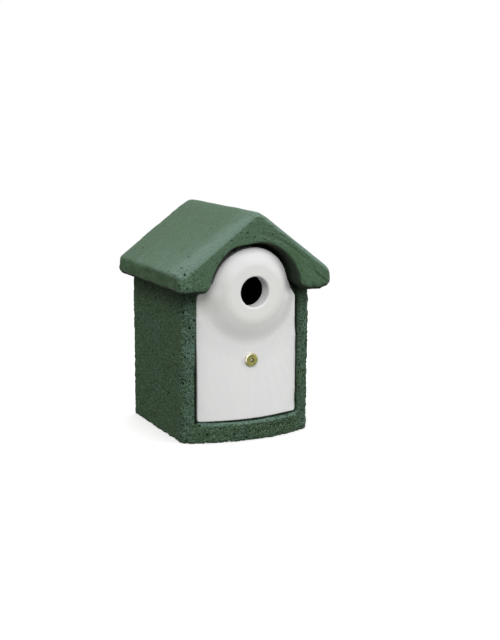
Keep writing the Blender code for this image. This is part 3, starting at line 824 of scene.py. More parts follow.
    def record(self, name: str, values: Array) -> None:
        """Keeps a measure of each point for the finish to read.

        Args:
            name: HOLLOW, RUBBED_AND_HIGHLIGHT, GRIME_AND_SHADE or WORN.
            values: one number for each point.
        """
        measure = self.thing.data.attributes.new(name, "FLOAT", "POINT")
        measure.data.foreach_set("value", values.astype(np.float32))

    def write_points(self, points: Array) -> None:
        """Moves the corners to new places."""
        self.thing.data.vertices.foreach_set("co", points.ravel())
        self.thing.data.update()

    def triangles(self) -> int:
        """How many triangles the mesh has."""
        self.thing.data.calc_loop_triangles()
        return len(self.thing.data.loop_triangles)

    def thin_to(self, most: int) -> "Workpiece":
        """Takes out the least needed triangles until few enough are left."""
        count = self.triangles()
        if count > most:
            self.modifier("DECIMATE", ratio=most / count)
        return self

    def deliver(self, body: str, node: str, finish: Finish, crease: float) -> bpy.types.Object:
        """Shades the piece and hands it over to the frame.

        Args:
            body: the body that it rides on.
            node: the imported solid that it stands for.
            finish: the finish of its surface.
            crease: the angle in degrees above which an edge stays sharp.

        Returns:
            The finished object.
        """
        self.activate()
        bpy.ops.object.shade_smooth_by_angle(angle=math.radians(crease))
        self.thing.data.materials.clear()
        self.thing.data.materials.append(finish.mixed())
        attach(self.thing, body)
        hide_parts(node)
        LOG.info("%s: %d triangles on %s", self.thing.name, self.triangles(), body)
        return self.thing


class EditMode:
    """Edit mode on one workpiece."""

    def __init__(self, piece: Workpiece, part: Part) -> None:
        """Keeps the piece and what is to be picked on it."""
        self.piece = piece
        self.part = part

    def __enter__(self) -> Workpiece:
        """Opens edit mode."""
        self.piece.activate()
        bpy.ops.object.mode_set(mode="EDIT")
        bpy.ops.mesh.select_mode(type=self.part.value)
        return self.piece

    def __exit__(self, *_: Any) -> None:
        """Closes edit mode."""
        bpy.ops.object.mode_set(mode="OBJECT")


def clear_choice() -> None:
    """Deselects every object."""
    if bpy.context.view_layer.objects.active and bpy.context.mode != "OBJECT":
        bpy.ops.object.mode_set(mode="OBJECT")
    bpy.ops.object.select_all(action="DESELECT")


# Cast surfaces


class Scatter:
    """Seeded relief in space, read at many points at once."""

    def __init__(self, points: Array, seed: int) -> None:
        """Keeps the points.

        Args:
            points: places in metres, one in each row.
            seed: makes one relief differ from another.
        """
        self.points = points
        self.seed = seed

    def _share(self, cells: Array, salt: int) -> Array:
        """A share from 0 to 1 that belongs to each lattice cell."""
        mixed = cells[:, 0] * 73856093 ^ cells[:, 1] * 19349663 ^ cells[:, 2] * 83492791
        mixed = (mixed ^ (self.seed * 7919 + salt * 104729)) & 0x7FFFFFFF
        mixed = ((mixed >> 15) ^ mixed) * 73244475 & 0x7FFFFFFF
        mixed = ((mixed >> 13) ^ mixed) * 73244475 & 0x7FFFFFFF
        return ((mixed >> 16) ^ mixed) % 65536 / 65536

    def _corners(self, low: int, high: int) -> Iterator[Array]:
        """Steps to the neighbouring lattice cells."""
        for x in range(low, high):
            for y in range(low, high):
                for z in range(low, high):
                    yield np.array((x, y, z), dtype=np.int64)

    def swell(self, size: float, layers: int = 1) -> Array:
        """Soft hills and hollows.

        Args:
            size: the width of a hill in metres.
            layers: how many finer layers are added, each half as wide and high.

        Returns:
            Heights from about -1 to 1.
        """
        total = np.zeros(len(self.points))
        for layer in range(layers):
            spot = self.points * 2**layer / size
            base = np.floor(spot).astype(np.int64)
            along = spot - base
            ease = along * along * (3 - 2 * along)
            level = np.zeros(len(spot))
            for corner in self._corners(0, 2):
                weight = np.prod(np.where(corner, ease, 1 - ease), axis=1)
                level += weight * (self._share(base + corner, layer) * 2 - 1)
            total += level / 2**layer
        return total

    def pits(self, size: float, keep: Union[float, Array], radii: Span, salt: int = 50) -> Array:
        """Round hollows that lie scattered in space.

        Args:
            size: the width of a lattice cell, which holds one hollow at most.
            keep: the share of the cells that hold one, one number or one for each point.
            radii: the least and the greatest radius.
            salt: makes one scatter differ from another.

        Returns:
            For each point its depth in the hollow in metres, 0 outside.
        """
        spot = self.points / size
        base = np.floor(spot).astype(np.int64)
        deepest = np.zeros(len(spot))
        for corner in self._corners(-1, 2):
            cell = base + corner
            held = np.nonzero(self._share(cell, salt) < keep)[0]
            cell = cell[held]
            jitter = np.stack([self._share(cell, salt + axis) for axis in (1, 2, 3)], axis=1)
            away = np.linalg.norm(spot[held] - cell - jitter, axis=1) * size
            radius = radii[0] + (radii[1] - radii[0]) * self._share(cell, salt + 4) ** 2
            deepest[held] = np.maximum(deepest[held], bowl(away, radius))
        return deepest


@dataclass
class Relief:
    """What the mould and the brush leave at each point of a casting, with the painted shade and sheen of
    its finish; lift and pits in metres.
    """

    lift: Array
    pits: Array
    rubbed_and_highlight: Array
    grime_and_shade: Array
    worn: Array


def ramp(values: Array, start: float, end: float) -> Array:
    """A soft step from 0 at one value to 1 at another."""
    share = np.clip((values - start) / (end - start), 0, 1)
    return share * share * (3 - 2 * share)


def fade(values: Array, reach: Any) -> Array:
    """A share that falls from 1 at 0 to 0 at a reach."""
    return np.clip(1 - values / reach, 0, 1)


def bowl(away: Array, radius: Any) -> Array:
    """How deep a round hollow is at a distance from its middle."""
    return np.clip(1 - (away / radius) ** 2, 0, None) * radius


def round_off(first: Array, second: Array, radius: Any) -> tuple[Array, Array]:
    """Rounds a square outer edge.

    Args:
        first: how deep each point lies under one face.
        second: how deep it lies under the other face.
        radius: the radius of the rounding, one number or one for each point.

    Returns:
        The two depths after the rounding.
    """
    to_first, to_second = first - radius, second - radius
    length = np.hypot(to_first, to_second)
    near = (to_first < 0) & (to_second < 0) & (length > radius)
    pull = np.where(near, radius / np.maximum(length, 1e-9), 1.0)
    return radius + to_first * pull, radius + to_second * pull


@dataclass
class Casting:
    """A cast solid, remeshed fine enough to carry the marks of its mould."""

    node: str
    body: str
    finish: Finish
    voxel: float
    most_triangles: int = 195000
    softening: int = 4
    seed: int = 1
    marks: tuple[Mark, ...] = ()

    def rough_out(self) -> Workpiece:
        """The solid's own shape on a fine, even mesh with softened edges."""
        piece = Workpiece.copy_of(self.node, f"{self.node}_cast")
        piece.modifier("REMESH", mode="VOXEL", voxel_size=self.voxel)
        piece.modifier("SMOOTH", factor=0.5, iterations=self.softening)
        return piece

    def carve(self, piece: Workpiece) -> None:
        """Shapes the solid, then moves each point of it by its relief, along its normal."""
        points = piece.read_points()
        piece.write_points(self.shape(points))
        points = piece.read_points()
        normals = piece.read_normals()
        relief = self.relief(points, normals)
        points += normals * (relief.lift - relief.pits)[:, None]
        low, high = (np.array(corner) for corner in CAD_BOX)
        inset = 0.02 * MILLIMETRE
        piece.write_points(np.clip(points, low + inset, high - inset))
        piece.record(HOLLOW, relief.pits / MILLIMETRE)
        piece.record(RUBBED_AND_HIGHLIGHT, relief.rubbed_and_highlight)
        piece.record(GRIME_AND_SHADE, relief.grime_and_shade)
        piece.record(WORN, relief.worn)

    def shape(self, points: Array) -> Array:
        """Where the points of the plain solid go before the relief."""
        return points

    def relief(self, points: Array, normals: Array) -> Relief:
        """How the surface differs from the plain solid.

        Args:
            points: the places on the surface.
            normals: the outward directions there.

        Returns:
            The relief at each place.
        """
        raise NotImplementedError

    def set_pits(self, points: Array) -> Array:
        """How deep each point lies in the pits that have a set place."""
        deepest = np.zeros(len(points))
        for *centre, radius in self.marks:
            away = np.linalg.norm(points - np.array(centre) * MILLIMETRE, axis=1)
            deepest = np.maximum(deepest, bowl(away, radius * MILLIMETRE))
        return deepest

    def build(self) -> bpy.types.Object:
        """The finished casting."""
        piece = self.rough_out()
        self.carve(piece)
        piece.thin_to(self.most_triangles)
        return piece.deliver(self.body, self.node, self.finish, 70)


@dataclass
class BodyZones:
    """How much each point belongs to the faces and edges of the body, from 0 to 1.

    Two measures are in metres: deep, behind the bowed front face, and beside, the
    cloudy distance from the nearer upright front edge.
    """

    deep: Array
    beside: Array
    forward: Array
    sideways: Array
    bevel: Array
    foot: Array
    edge: Array
    jamb: Array


@dataclass
class NestBody(Casting):
    """Walls, floor, back and sill in one rough casting."""

    node: str = "body_shell"
    body: str = "root"
    finish: Finish = RoughWoodcrete()
    voxel: float = 0.00090
    softening: int = 3
    seed: int = 11
    chamber_half: float = 0.0562
    chamber_depth: Span = (-0.0600, 0.0610)
    seat: Point = (0.0655, -0.0510, -0.0430)
    rebate_half: float = 0.0640
    rebate_back: float = -0.0500
    jamb_half: float = 0.0590
    jamb_back: float = -0.0590
    corner: Span = (0.0737, -0.0628)
    front_bow: float = 0.0170
    sill_top: float = 0.0215
    sill_sag: float = 0.0013
    sill_half: float = 0.0580
    sill_rounding: float = 0.0046
    sill_back: float = -0.0550
    bevel_heights: Span = (0.012, 0.026)
    bevel_back: float = -0.0600
    dark_line: float = 0.0040
    inner_share: float = 0.05
    front_only: float = -0.0580
    foot_reach: float = 0.007
    edge_reach: float = 0.010
    rubbed_reach: Span = (0.018, 0.011)
    rubbed_share: Span = (0.78, 0.18)
    left_jamb_rubbed: Span = (0.30, 0.40)
    # Height band and strength of the painted shadow under the eaves.
    eaves_shadow: Span = (0.120, 0.161)
    eaves_shade: float = 0.56
    unevenness: float = 0.00035
    grain_size: float = 0.0030
    pebble_radii: Span = (0.0008, 0.0019)
    bite_radii: Span = (0.0013, 0.0030)
    swelling: float = 0.00040
    marks: tuple[Mark, ...] = (
        (-72.6, -71.0, 121.2, 2.2),
        (-72.8, -63.5, 139.7, 1.9),
        (-73.0, -18.7, 152.5, 1.7),
        (-72.6, -68.0, 92.5, 2.0),
        (-73.2, 20.0, 84.0, 1.8),
        (-73.2, 35.0, 84.5, 1.8),
    )

    def before_front(self, points: Array) -> Array:
        """How deep each point lies behind the bowed front face."""
        x, y, _ = points.T
        return y - self.corner[1] + self.front_bow * (1 - (x / self.corner[0]) ** 2)

    def shape(self, points: Array) -> Array:
        """Lets the sill sag towards its middle and rounds its front edge."""
        x, y, z = points.T
        over_sill = (z > self.sill_top - self.sill_rounding) & (z < self.sill_top + MILLIMETRE)
        over_sill &= (np.abs(x) < self.sill_half) & (y < self.sill_back)
        sag = self.sill_sag * (1 - (x / self.sill_half) ** 2)
        sag *= ramp(z, self.sill_top - self.sill_rounding, self.sill_top)
        deep = self.before_front(points)
        under, behind = round_off(self.sill_top - z, deep, self.sill_rounding)
        new_y = np.where(over_sill, y + behind - deep, y)
        return np.column_stack((x, new_y, np.where(over_sill, self.sill_top - under - sag, z)))

    def rebate(self, points: Array, normals: Array) -> Array:
        """Whether each point lies on a side face of the opening for the front."""
        x, y, z = points.T
        found = (np.abs(normals[:, 0]) > 0.6) & (x * normals[:, 0] < 0) & (z > self.sill_top)
        return found & (np.abs(x) < self.rebate_half) & (y < self.rebate_back)

    def smooth_skin(self, points: Array, normals: Array) -> Array:
        """Whether each point lies in the chamber, on the front's seat or on a rebate."""
        x, y, z = points.T
        chamber = (np.abs(x) < self.chamber_half) & (z > self.sill_top - 0.5 * MILLIMETRE)
        chamber &= (y > self.chamber_depth[0]) & (y < self.chamber_depth[1])
        seat_half, seat_front, seat_back = self.seat
        seat = (y > seat_front) & (y < seat_back) & (np.abs(x) < seat_half) & (z > self.sill_top)
        return chamber | seat | self.rebate(points, normals)

    def bevel(self, points: Array, normals: Array) -> Array:
        """How much each point belongs to the sill's upper front edge."""
        _, y, z = points.T
        low, high = self.bevel_heights
        bevel = ramp(normals[:, 2], 0.25, 0.6) * (z > low) * (z < high) * (y < self.bevel_back)
        behind = self.before_front(points) - self.dark_line
        return bevel * ramp(-behind, -0.0055, -0.0025)

    def zones(self, points: Array, normals: Array) -> BodyZones:
        """Shares out the points among the body's faces and edges."""
        x, y, z = points.T
        upright = np.hypot(np.abs(x) - self.corner[0], y - self.corner[1])
        return BodyZones(
            deep=self.before_front(points),
            beside=upright + Scatter(points, self.seed).swell(0.014, 2) * 0.004,
            forward=ramp(-normals[:, 1], 0.4, 0.8),
            sideways=ramp(np.abs(normals[:, 0]), 0.6, 0.9),
            bevel=self.bevel(points, normals),
            foot=fade(z, self.foot_reach),
            edge=fade(upright, self.edge_reach),
            jamb=(np.abs(x) > self.jamb_half) & (z > self.sill_top) & (y < self.jamb_back),
        )

    def streaks(self, points: Array) -> Array:
        """Soft streaks that run along the sill."""
        return Scatter(points * (0.35, 0.5, 1.0), self.seed + 2).swell(self.grain_size, 2)

    def lift(self, points: Array, normals: Array, zones: BodyZones) -> Array:
        """Grain and crumbs, with bites out of the foot and the upright edges.

        Args:
            points: the places on the surface.
            normals: the outward directions there.
            zones: the parts of the body they belong to.

        Returns:
            How far each point stands out.
        """
        _, y, z = points.T
        scatter = Scatter(points, self.seed)
        worn = np.maximum(zones.foot, zones.edge)
        lift = scatter.swell(0.022, 2) * self.unevenness + self.swelling
        lift += scatter.swell(self.grain_size, 2) * (0.40 + 0.35 * worn) * MILLIMETRE
        lift += scatter.pits(0.0040, 0.45, self.pebble_radii, 70) * 0.32 + 0.3 * MILLIMETRE * worn
        bites = scatter.pits(0.0055, 0.65, self.bite_radii, 120)
        lift -= bites * np.maximum(zones.foot * 1.15, zones.edge * 0.65)
        rim = np.maximum(1.7 * fade(z, 0.004), 0.8 * zones.edge)
        lift -= np.maximum(scatter.swell(0.0042, 2), 0) * rim * 1.3 * MILLIMETRE
        lift *= np.where(self.smooth_skin(points, normals), self.inner_share, 1.0)
        sill_front = (y < self.front_only) & (z < self.sill_top)
        lift += np.where(sill_front, self.streaks(points) * 0.55 * MILLIMETRE, 0)
        return np.where(normals[:, 2] > 0.8, np.minimum(lift, 0) * 0.6, lift)

    def rubbed_and_highlight(self, points: Array, normals: Array, zones: BodyZones) -> Array:
        """Paler, rubbed paint along the upright edges, on the left jamb and along the sill."""
        x = points[:, 0]
        reach = np.where(np.abs(normals[:, 0]) > 0.7, *reversed(self.rubbed_reach))
        ahead, aside = self.rubbed_share
        rubbed_and_highlight = fade(zones.beside, reach) * (ahead + (aside - ahead) * zones.sideways)
        outer, more = self.left_jamb_rubbed
        left_jamb = zones.forward * (zones.jamb & (x < 0))
        rubbed_and_highlight += left_jamb * (outer + more * ramp(x, -0.0735, -0.0680) - rubbed_and_highlight)
        rubbed_and_highlight *= Scatter(points, self.seed).swell(0.007, 2) * 0.5 + 0.8
        return np.clip(np.maximum(rubbed_and_highlight, zones.bevel * (1.62 + self.streaks(points))), 0, 2)

    def grime_and_shade(self, points: Array, normals: Array, zones: BodyZones) -> Array:
        """Painted shade in the gaps round the front, and a painted shadow under the eaves."""
        x, _, z = points.T
        behind = zones.deep - self.dark_line
        sill_line = 0.9 * ramp(behind, 0, 0.0008) * ramp(-behind, -0.0035, -0.0018) * zones.bevel
        inner = x - 0.0018 * ramp(z, 0.060, 0.140)
        left_line = 0.95 * ramp(inner, -0.0628, -0.0616) * (zones.jamb & (x < 0))
        right_line = 0.5 * ramp(zones.deep, 0.0025, 0.0045) * (self.rebate(points, normals) & (x > 0))
        shadow = self.eaves_shade * ramp(z, *self.eaves_shadow)
        return np.max((sill_line, left_line, right_line, shadow), axis=0)

    def open_pores(self, points: Array, zones: BodyZones) -> Array:
        """Coarse front faces, most on the right and at the foot, and coarse upright edges."""
        x, y, _ = points.T
        facing = zones.forward * (y < self.front_only) * (1 - zones.bevel)
        front = facing * (0.40 + 0.60 * np.maximum(ramp(x, -0.03, 0.03), zones.foot))
        beside = fade(zones.beside, 0.014) * (0.9 - 0.45 * zones.sideways)
        return np.maximum(front, beside)

    def relief(self, points: Array, normals: Array) -> Relief:
        """Grain, crumbs and open pores outside, and a flatter skin in the chamber."""
        zones = self.zones(points, normals)
        share = np.where(self.smooth_skin(points, normals), self.inner_share, 1.0)
        pores = Scatter(points, self.seed).pits(0.0046, 0.40, self.pebble_radii) * 0.95
        return Relief(
            lift=self.lift(points, normals, zones),
            pits=np.maximum(pores, self.set_pits(points)) * share,
            rubbed_and_highlight=self.rubbed_and_highlight(points, normals, zones),
            grime_and_shade=self.grime_and_shade(points, normals, zones),
            worn=self.open_pores(points, zones),
        )


@dataclass
class RoofZones:
    """How much each point belongs to the faces and edges of the roof, from 0 to 1."""

    slope: Array
    gable: Array
    fascia: Array
    back: Array
    low: Array
    corner: Array

    def sum_of(self, **shares: float) -> Array:
        """The sum of some zones, each by its own share."""
        return sum(share * getattr(self, zone) for zone, share in shares.items())


@dataclass
class GableRoof(Casting):
    """Gable roof with the arch over the front, smoother than the body."""

    node: str = "roof"
    body: str = "root"
    finish: Finish = SmoothWoodcrete()
    voxel: float = 0.00078
    seed: int = 23
    pitch: float = math.radians(37.15)
    half_width: float = 0.08725
    eaves: float = 0.1613
    fascia_height: float = 0.0178
    ridge: float = 0.2427
    front: float = -0.09075
    arch_height: float = 0.1603
    arch_radius: float = 0.0500
    arch_chamfer: float = 0.0028
    arch_left_slack: float = 0.0036
    arch_right_slack: float = -0.0008
    edge_rounding: float = 0.0060
    eaves_rounding: Span = (0.0030, 0.0100)
    drip_right: float = 0.0036
    drip_rounding: Span = (0.0060, 0.0052)
    unevenness: float = 0.00022
    swelling: float = 0.00080
    pillow: float = 0.0009
    pillow_reach: float = 0.024
    corner: Point = (-0.0850, -0.0840, 0.1700)
    corner_reach: float = 0.034
    low_reach: float = 0.008
    inner_share: float = 0.05
    drawn: Point = (1.0, 0.45, 1.0)
    pit_radii: Span = (0.00045, 0.00100)
    mark_radii: Span = (0.0008, 0.0012)
    # Reach of the painted sheen band and of the broad painted gradient of light on the slopes.
    sheen_band_width: float = 0.042
    fade_length: float = 0.160
    # Strengths of the painted shade on the fascias, in the arch's reveal and under the eaves, of the
    # darkening at the gable's foot and of the painted shadow beside the arch.
    fascia_shade: float = 0.34
    arch_shade: float = 0.64
    under_shade: float = 0.80
    gable_foot_darkening: float = 0.11
    gable_shadow: float = 0.20
    stroke_centre: Span = (-0.015, 0.125)
    stroke_height: float = 0.95 * MILLIMETRE
    groove: tuple[Span, Span] = ((0.040, 0.1975), (0.081, 0.1665))
    groove_half: float = 1.5 * MILLIMETRE
    groove_depth: float = 1.8 * MILLIMETRE
    marks: tuple[Mark, ...] = (
        (-12.3, -90.6, 222.0, 1.22), (-4.0, -90.6, 217.1, 1.08), (-6.5, -90.6, 214.9, 0.79),
        (-8.8, -90.6, 218.2, 0.72), (16.1, -90.6, 218.9, 1.08), (12.3, -90.6, 219.5, 0.72),
        (7.0, -90.6, 214.6, 0.94), (4.7, -90.6, 214.9, 0.72), (17.5, -90.6, 213.5, 1.01),
        (5.1, -90.6, 221.7, 0.72), (-29.9, -90.6, 214.7, 0.94), (-19.6, -90.6, 215.2, 0.72),
        (36.6, -90.5, 212.5, 0.86), (40.7, -90.5, 207.9, 0.86), (15.1, -90.6, 228.4, 0.94),
        (50.2, -90.6, 179.3, 0.86), (-40.3, -90.6, 199.4, 0.86), (18.6, -90.6, 223.2, 0.65),
        (26.4, -90.6, 208.0, 0.79), (-40.8, 68.4, 214.2, 1.3), (-48.9, 33.8, 208.1, 1.2),
        (-69.8, 55.9, 192.2, 1.6), (-74.4, 68.8, 188.7, 1.2), (-64.6, -61.1, 196.0, 1.4),
        (-76.9, -71.7, 186.8, 1.5), (-81.0, -87.5, 183.0, 1.8), (-84.0, -53.7, 180.8, 1.5),
        (-85.0, -74.6, 179.4, 1.6), (-86.8, 63.4, 170.4, 2.0), (-86.9, -56.7, 166.4, 1.5),
        (-86.9, -86.5, 171.5, 1.3), (-86.9, -82.0, 167.0, 1.1), (-86.5, -88.5, 176.5, 1.2),
        (-86.9, -78.5, 173.5, 1.0), (-86.9, -73.5, 168.5, 1.1), (-85.5, -89.8, 168.0, 1.3),
        (-83.0, -90.4, 172.0, 1.1), (-79.5, -90.4, 168.5, 1.2), (-77.0, -90.4, 174.5, 1.0),
        (-72.0, -90.4, 176.0, 0.9), (-82.0, -90.2, 178.0, 1.0),
    )

    def slopes(self) -> Point:
        """Sine and cosine of the pitch, and the distance from the origin to the slopes."""
        sin, cos = math.sin(self.pitch), math.cos(self.pitch)
        return sin, cos, self.half_width * sin + (self.eaves + self.fascia_height) * cos

    def under_slope(self, points: Array) -> Array:
        """How deep each point lies under the nearest of the slopes and fascias."""
        x, _, z = points.T
        sin, cos, top = self.slopes()
        return np.minimum(top - np.abs(x) * sin - z * cos, self.half_width - np.abs(x))

    def slack(self, x: Array) -> Array:
        """How much wider the cast arch is than the drawn one."""
        left = self.arch_left_slack * ramp(-x, 0.008, 0.030)
        return left + self.arch_right_slack * ramp(x, 0.015, 0.035)

    def shape(self, points: Array) -> Array:
        """Slackens the arch and rounds the front edges."""
        x, y, z = points.T
        rise = z - self.arch_height
        away = np.hypot(x, rise)
        reach = ramp(-np.abs(away - self.arch_radius), -0.010, -0.001)
        slack = self.slack(x) * reach * (z > self.eaves + 0.0005)
        into, deep = round_off(away - self.arch_radius, y - self.front, self.arch_chamfer)
        share = (into + self.arch_radius + slack) / away
        points = np.column_stack((x * share, self.front + deep, self.arch_height + rise * share))
        points = self.round_eaves(points)
        under = self.under_slope(points)
        lower, deep = round_off(under, points[:, 1] - self.front, self.edge_rounding)
        drop = lower - under
        on_fascia = np.abs(points[:, 0]) > self.half_width - self.edge_rounding
        side = np.sign(points[:, 0])
        sin, cos, _ = self.slopes()
        points[:, 0] -= drop * np.where(on_fascia, 1.0, sin) * side
        points[:, 2] -= drop * np.where(on_fascia, 0.0, cos)
        points[:, 1] = self.front + deep
        return points

    def round_eaves(self, points: Array) -> Array:
        """Rounds the upper and the lower edge of both fascias."""
        x, y, z = points.T
        sin, cos, top = self.slopes()
        radius = np.where(x < 0, *self.eaves_rounding)
        under, out = round_off(top - np.abs(x) * sin - z * cos, self.half_width - np.abs(x), radius)
        z = (top - (self.half_width - out) * sin - under) / cos
        out, up = round_off(out, z - self.eaves, np.where(x < 0, *self.drip_rounding))
        low = fade(up, self.fascia_height) * ramp(x, 0.050, 0.062)
        low *= (1 - 0.75 * ramp(x, 0.074, 0.085)) * ramp(-y, 0.0635, 0.0720)
        up = up - self.drip_right * low
        return np.column_stack((np.sign(x) * (self.half_width - out), y, self.eaves + up))

    def to_gable(self, points: Array) -> Array:
        """How far each point lies from the nearer gable."""
        y = points[:, 1]
        return np.minimum(y - self.front, -self.front - y)

    def zones(self, points: Array, normals: Array) -> RoofZones:
        """Shares out the points among the roof's faces and edges."""
        _, y, z = points.T
        away = np.linalg.norm(points - np.array(self.corner), axis=1)
        return RoofZones(
            slope=ramp(normals[:, 2], 0.18, 0.50),
            gable=ramp(-normals[:, 1], 0.5, 0.9) * ramp(-self.to_gable(points), -0.006, -0.003),
            fascia=ramp(np.abs(normals[:, 0]), 0.72, 0.90),
            back=ramp(y, 0.076, 0.088),
            low=fade(z - self.eaves, self.low_reach),
            corner=fade(away, self.corner_reach),
        )

    def lift(self, points: Array, zones: RoofZones) -> Array:
        """Hand-smoothed slopes, lumpy eaves and a brushed gable."""
        x, _, z = points.T
        scatter = Scatter(points, self.seed)
        drawn = Scatter(points * self.drawn, self.seed + 2)
        worn = np.clip(zones.low + ramp(zones.corner, 0.2, 0.6) * 0.8, 0, 1)
        rough = 0.34 * worn + zones.sum_of(gable=0.20, fascia=0.20, back=0.15)
        brushed = ramp(x, -0.035, 0.010) * 0.85 + 0.15
        lift = scatter.swell(0.030, 2) * self.unevenness
        lift += zones.back * scatter.swell(0.017, 2) * 0.5 * MILLIMETRE
        lift += self.swelling * zones.slope * ramp(self.ridge - z, 0.0005, 0.008)
        lift += scatter.swell(0.0050, 2) * 0.06 * MILLIMETRE
        lumpy = np.clip(zones.fascia + zones.low, 0, 1)
        lift += (drawn.swell(0.0060, 3) - 0.6) * 0.55 * MILLIMETRE * lumpy
        lift += drawn.swell(0.0026, 2) * MILLIMETRE * rough
        near = fade(self.to_gable(points), self.pillow_reach)
        lift -= near**2 * self.pillow * zones.slope
        lift += self.strokes(points) * zones.gable * brushed * self.stroke_height
        return lift - self.crack(points) * zones.gable

    def pits(self, points: Array, zones: RoofZones) -> Array:
        """Pinholes that crowd at the front corner, and a few larger ones anywhere."""
        scatter = Scatter(points, self.seed)
        crowd = 0.80 * ramp(zones.corner, 0.0, 0.5) * (1 - 0.5 * zones.slope)
        crowd += zones.sum_of(low=0.40, gable=0.17, fascia=0.14)
        pinholes = scatter.pits(0.0028, np.minimum(crowd, 0.9), self.pit_radii)
        few = scatter.pits(0.0160, 0.20, self.mark_radii, 90)
        return np.max((pinholes, few, self.set_pits(points)), axis=0)

    def rubbed_and_highlight(self, points: Array, zones: RoofZones) -> Array:
        """Painted sheen on the slopes: a cloudy band behind the front edge, fading towards the back and
        the ridge and lighter near the eaves; paler rubbed paint on the corner and a little on the gable.
        """
        _, y, z = points.T
        scatter = Scatter(points, self.seed)
        behind = y - self.front
        cloudy = fade(behind + scatter.swell(0.018, 2) * 0.0045, self.sheen_band_width)
        sheen_band = cloudy**1.6 * 0.97 + 0.25 * ramp(zones.corner, 0.1, 0.6)
        sheen_band += fade(behind, self.fade_length) * (0.34 - 0.16 * ramp(z, 0.205, 0.240))
        over_fascia = z - self.eaves - self.fascia_height
        sheen_band += 0.28 * fade(over_fascia, 0.040) * (behind < 0.13)
        mottle = np.clip(scatter.swell(0.012, 3) * 0.25 + 0.95, 0, 1.2)
        upright = 0.14 * (1 - zones.slope) * (1 - zones.fascia) + 0.22 * ramp(zones.corner, 0.35, 0.8)
        return np.maximum(sheen_band * zones.slope * mottle, upright)

    def grime_and_shade(self, points: Array, normals: Array, zones: RoofZones) -> Array:
        """Painted shade in the arch's reveal, under the eaves and mottled on the fascias, a darkening at
        the foot of the gable, and a painted shadow beside the arch.

        Args:
            points: the places on the surface.
            normals: the outward directions there.
            zones: the parts of the roof they belong to.

        Returns:
            The painted shade and darkening at each place, from 0 to 1.
        """
        x, y, z = points.T
        up = normals[:, 2]
        chamfer = self.arch_chamfer
        arch = self.arch_radius + self.slack(x) - np.hypot(x, z - self.arch_height)
        # Painted shade in the arch's reveal, behind its chamfer on the left.
        reveal = self.arch_shade * ramp(arch, -chamfer, MILLIMETRE - chamfer) * (up < 0.3) * (y < 0)
        reveal *= np.where(x < 0, ramp(y - self.front, chamfer, 1.6 * chamfer), 1.0)
        drawn = Scatter(points * self.drawn, self.seed + 2)
        # Painted shade on the fascias, mottled, a little stronger near the middle of their length.
        fascia_shading = np.clip(drawn.swell(0.007, 3) * 0.10 + self.fascia_shade, 0, 1)
        fascia_shading += 0.06 * ramp(-np.abs(y + 0.018), -0.040, -0.015)
        fascia_shading *= zones.fascia * (z > self.eaves)
        # Painted shade on the faces that look down.
        under = self.under_shade * ramp(-up, 0.3, 0.7)
        # Darker towards the foot of the gable.
        low_gable = self.gable_foot_darkening * zones.gable * ramp(-z, -0.214, -0.200)
        beside_arch = ramp(x, 0.026, 0.038) * ramp(-x, -0.060, -0.048)
        shadow = self.gable_shadow * zones.gable * beside_arch
        return np.max((reveal, fascia_shading, under, low_gable, shadow), axis=0)

    def relief(self, points: Array, normals: Array) -> Relief:
        """Relief outside, and a flatter skin in the vault and under the eaves."""
        zones = self.zones(points, normals)
        outer = (normals[:, 2] > 0.25) | (self.to_gable(points) < 0.016)
        outer |= np.abs(points[:, 0]) > self.half_width - 0.004
        share = np.where(outer, 1.0, self.inner_share)
        open_pores = ramp(zones.corner, 0.1, 0.5) + zones.sum_of(gable=0.30, fascia=0.05, low=0.5)
        return Relief(
            lift=self.lift(points, zones) * share,
            pits=self.pits(points, zones) * share,
            rubbed_and_highlight=self.rubbed_and_highlight(points, zones),
            grime_and_shade=self.grime_and_shade(points, normals, zones),
            worn=np.clip(open_pores, 0, 1),
        )

    def strokes(self, points: Array) -> Array:
        """Ridges of the brush that was swept over the gable in wide arcs."""
        x, y, z = points.T
        across, rise = x - self.stroke_centre[0], z - self.stroke_centre[1]
        radius = np.hypot(across, rise)
        angle = np.arctan2(across, rise)
        swept = np.column_stack((radius, angle * 0.009, y * 0.1))
        return Scatter(swept, self.seed + 1).swell(0.0026, 2)

    def crack(self, points: Array) -> Array:
        """Depth of the groove that runs under the right slope and deepens outwards."""
        flat = points[:, (0, 2)]
        start, end = np.array(self.groove)
        run = end - start
        along = np.clip((flat - start) @ run / (run @ run), 0, 1)
        away = np.linalg.norm(flat - start - along[:, None] * run, axis=1)
        return fade(away, self.groove_half) * along * self.groove_depth


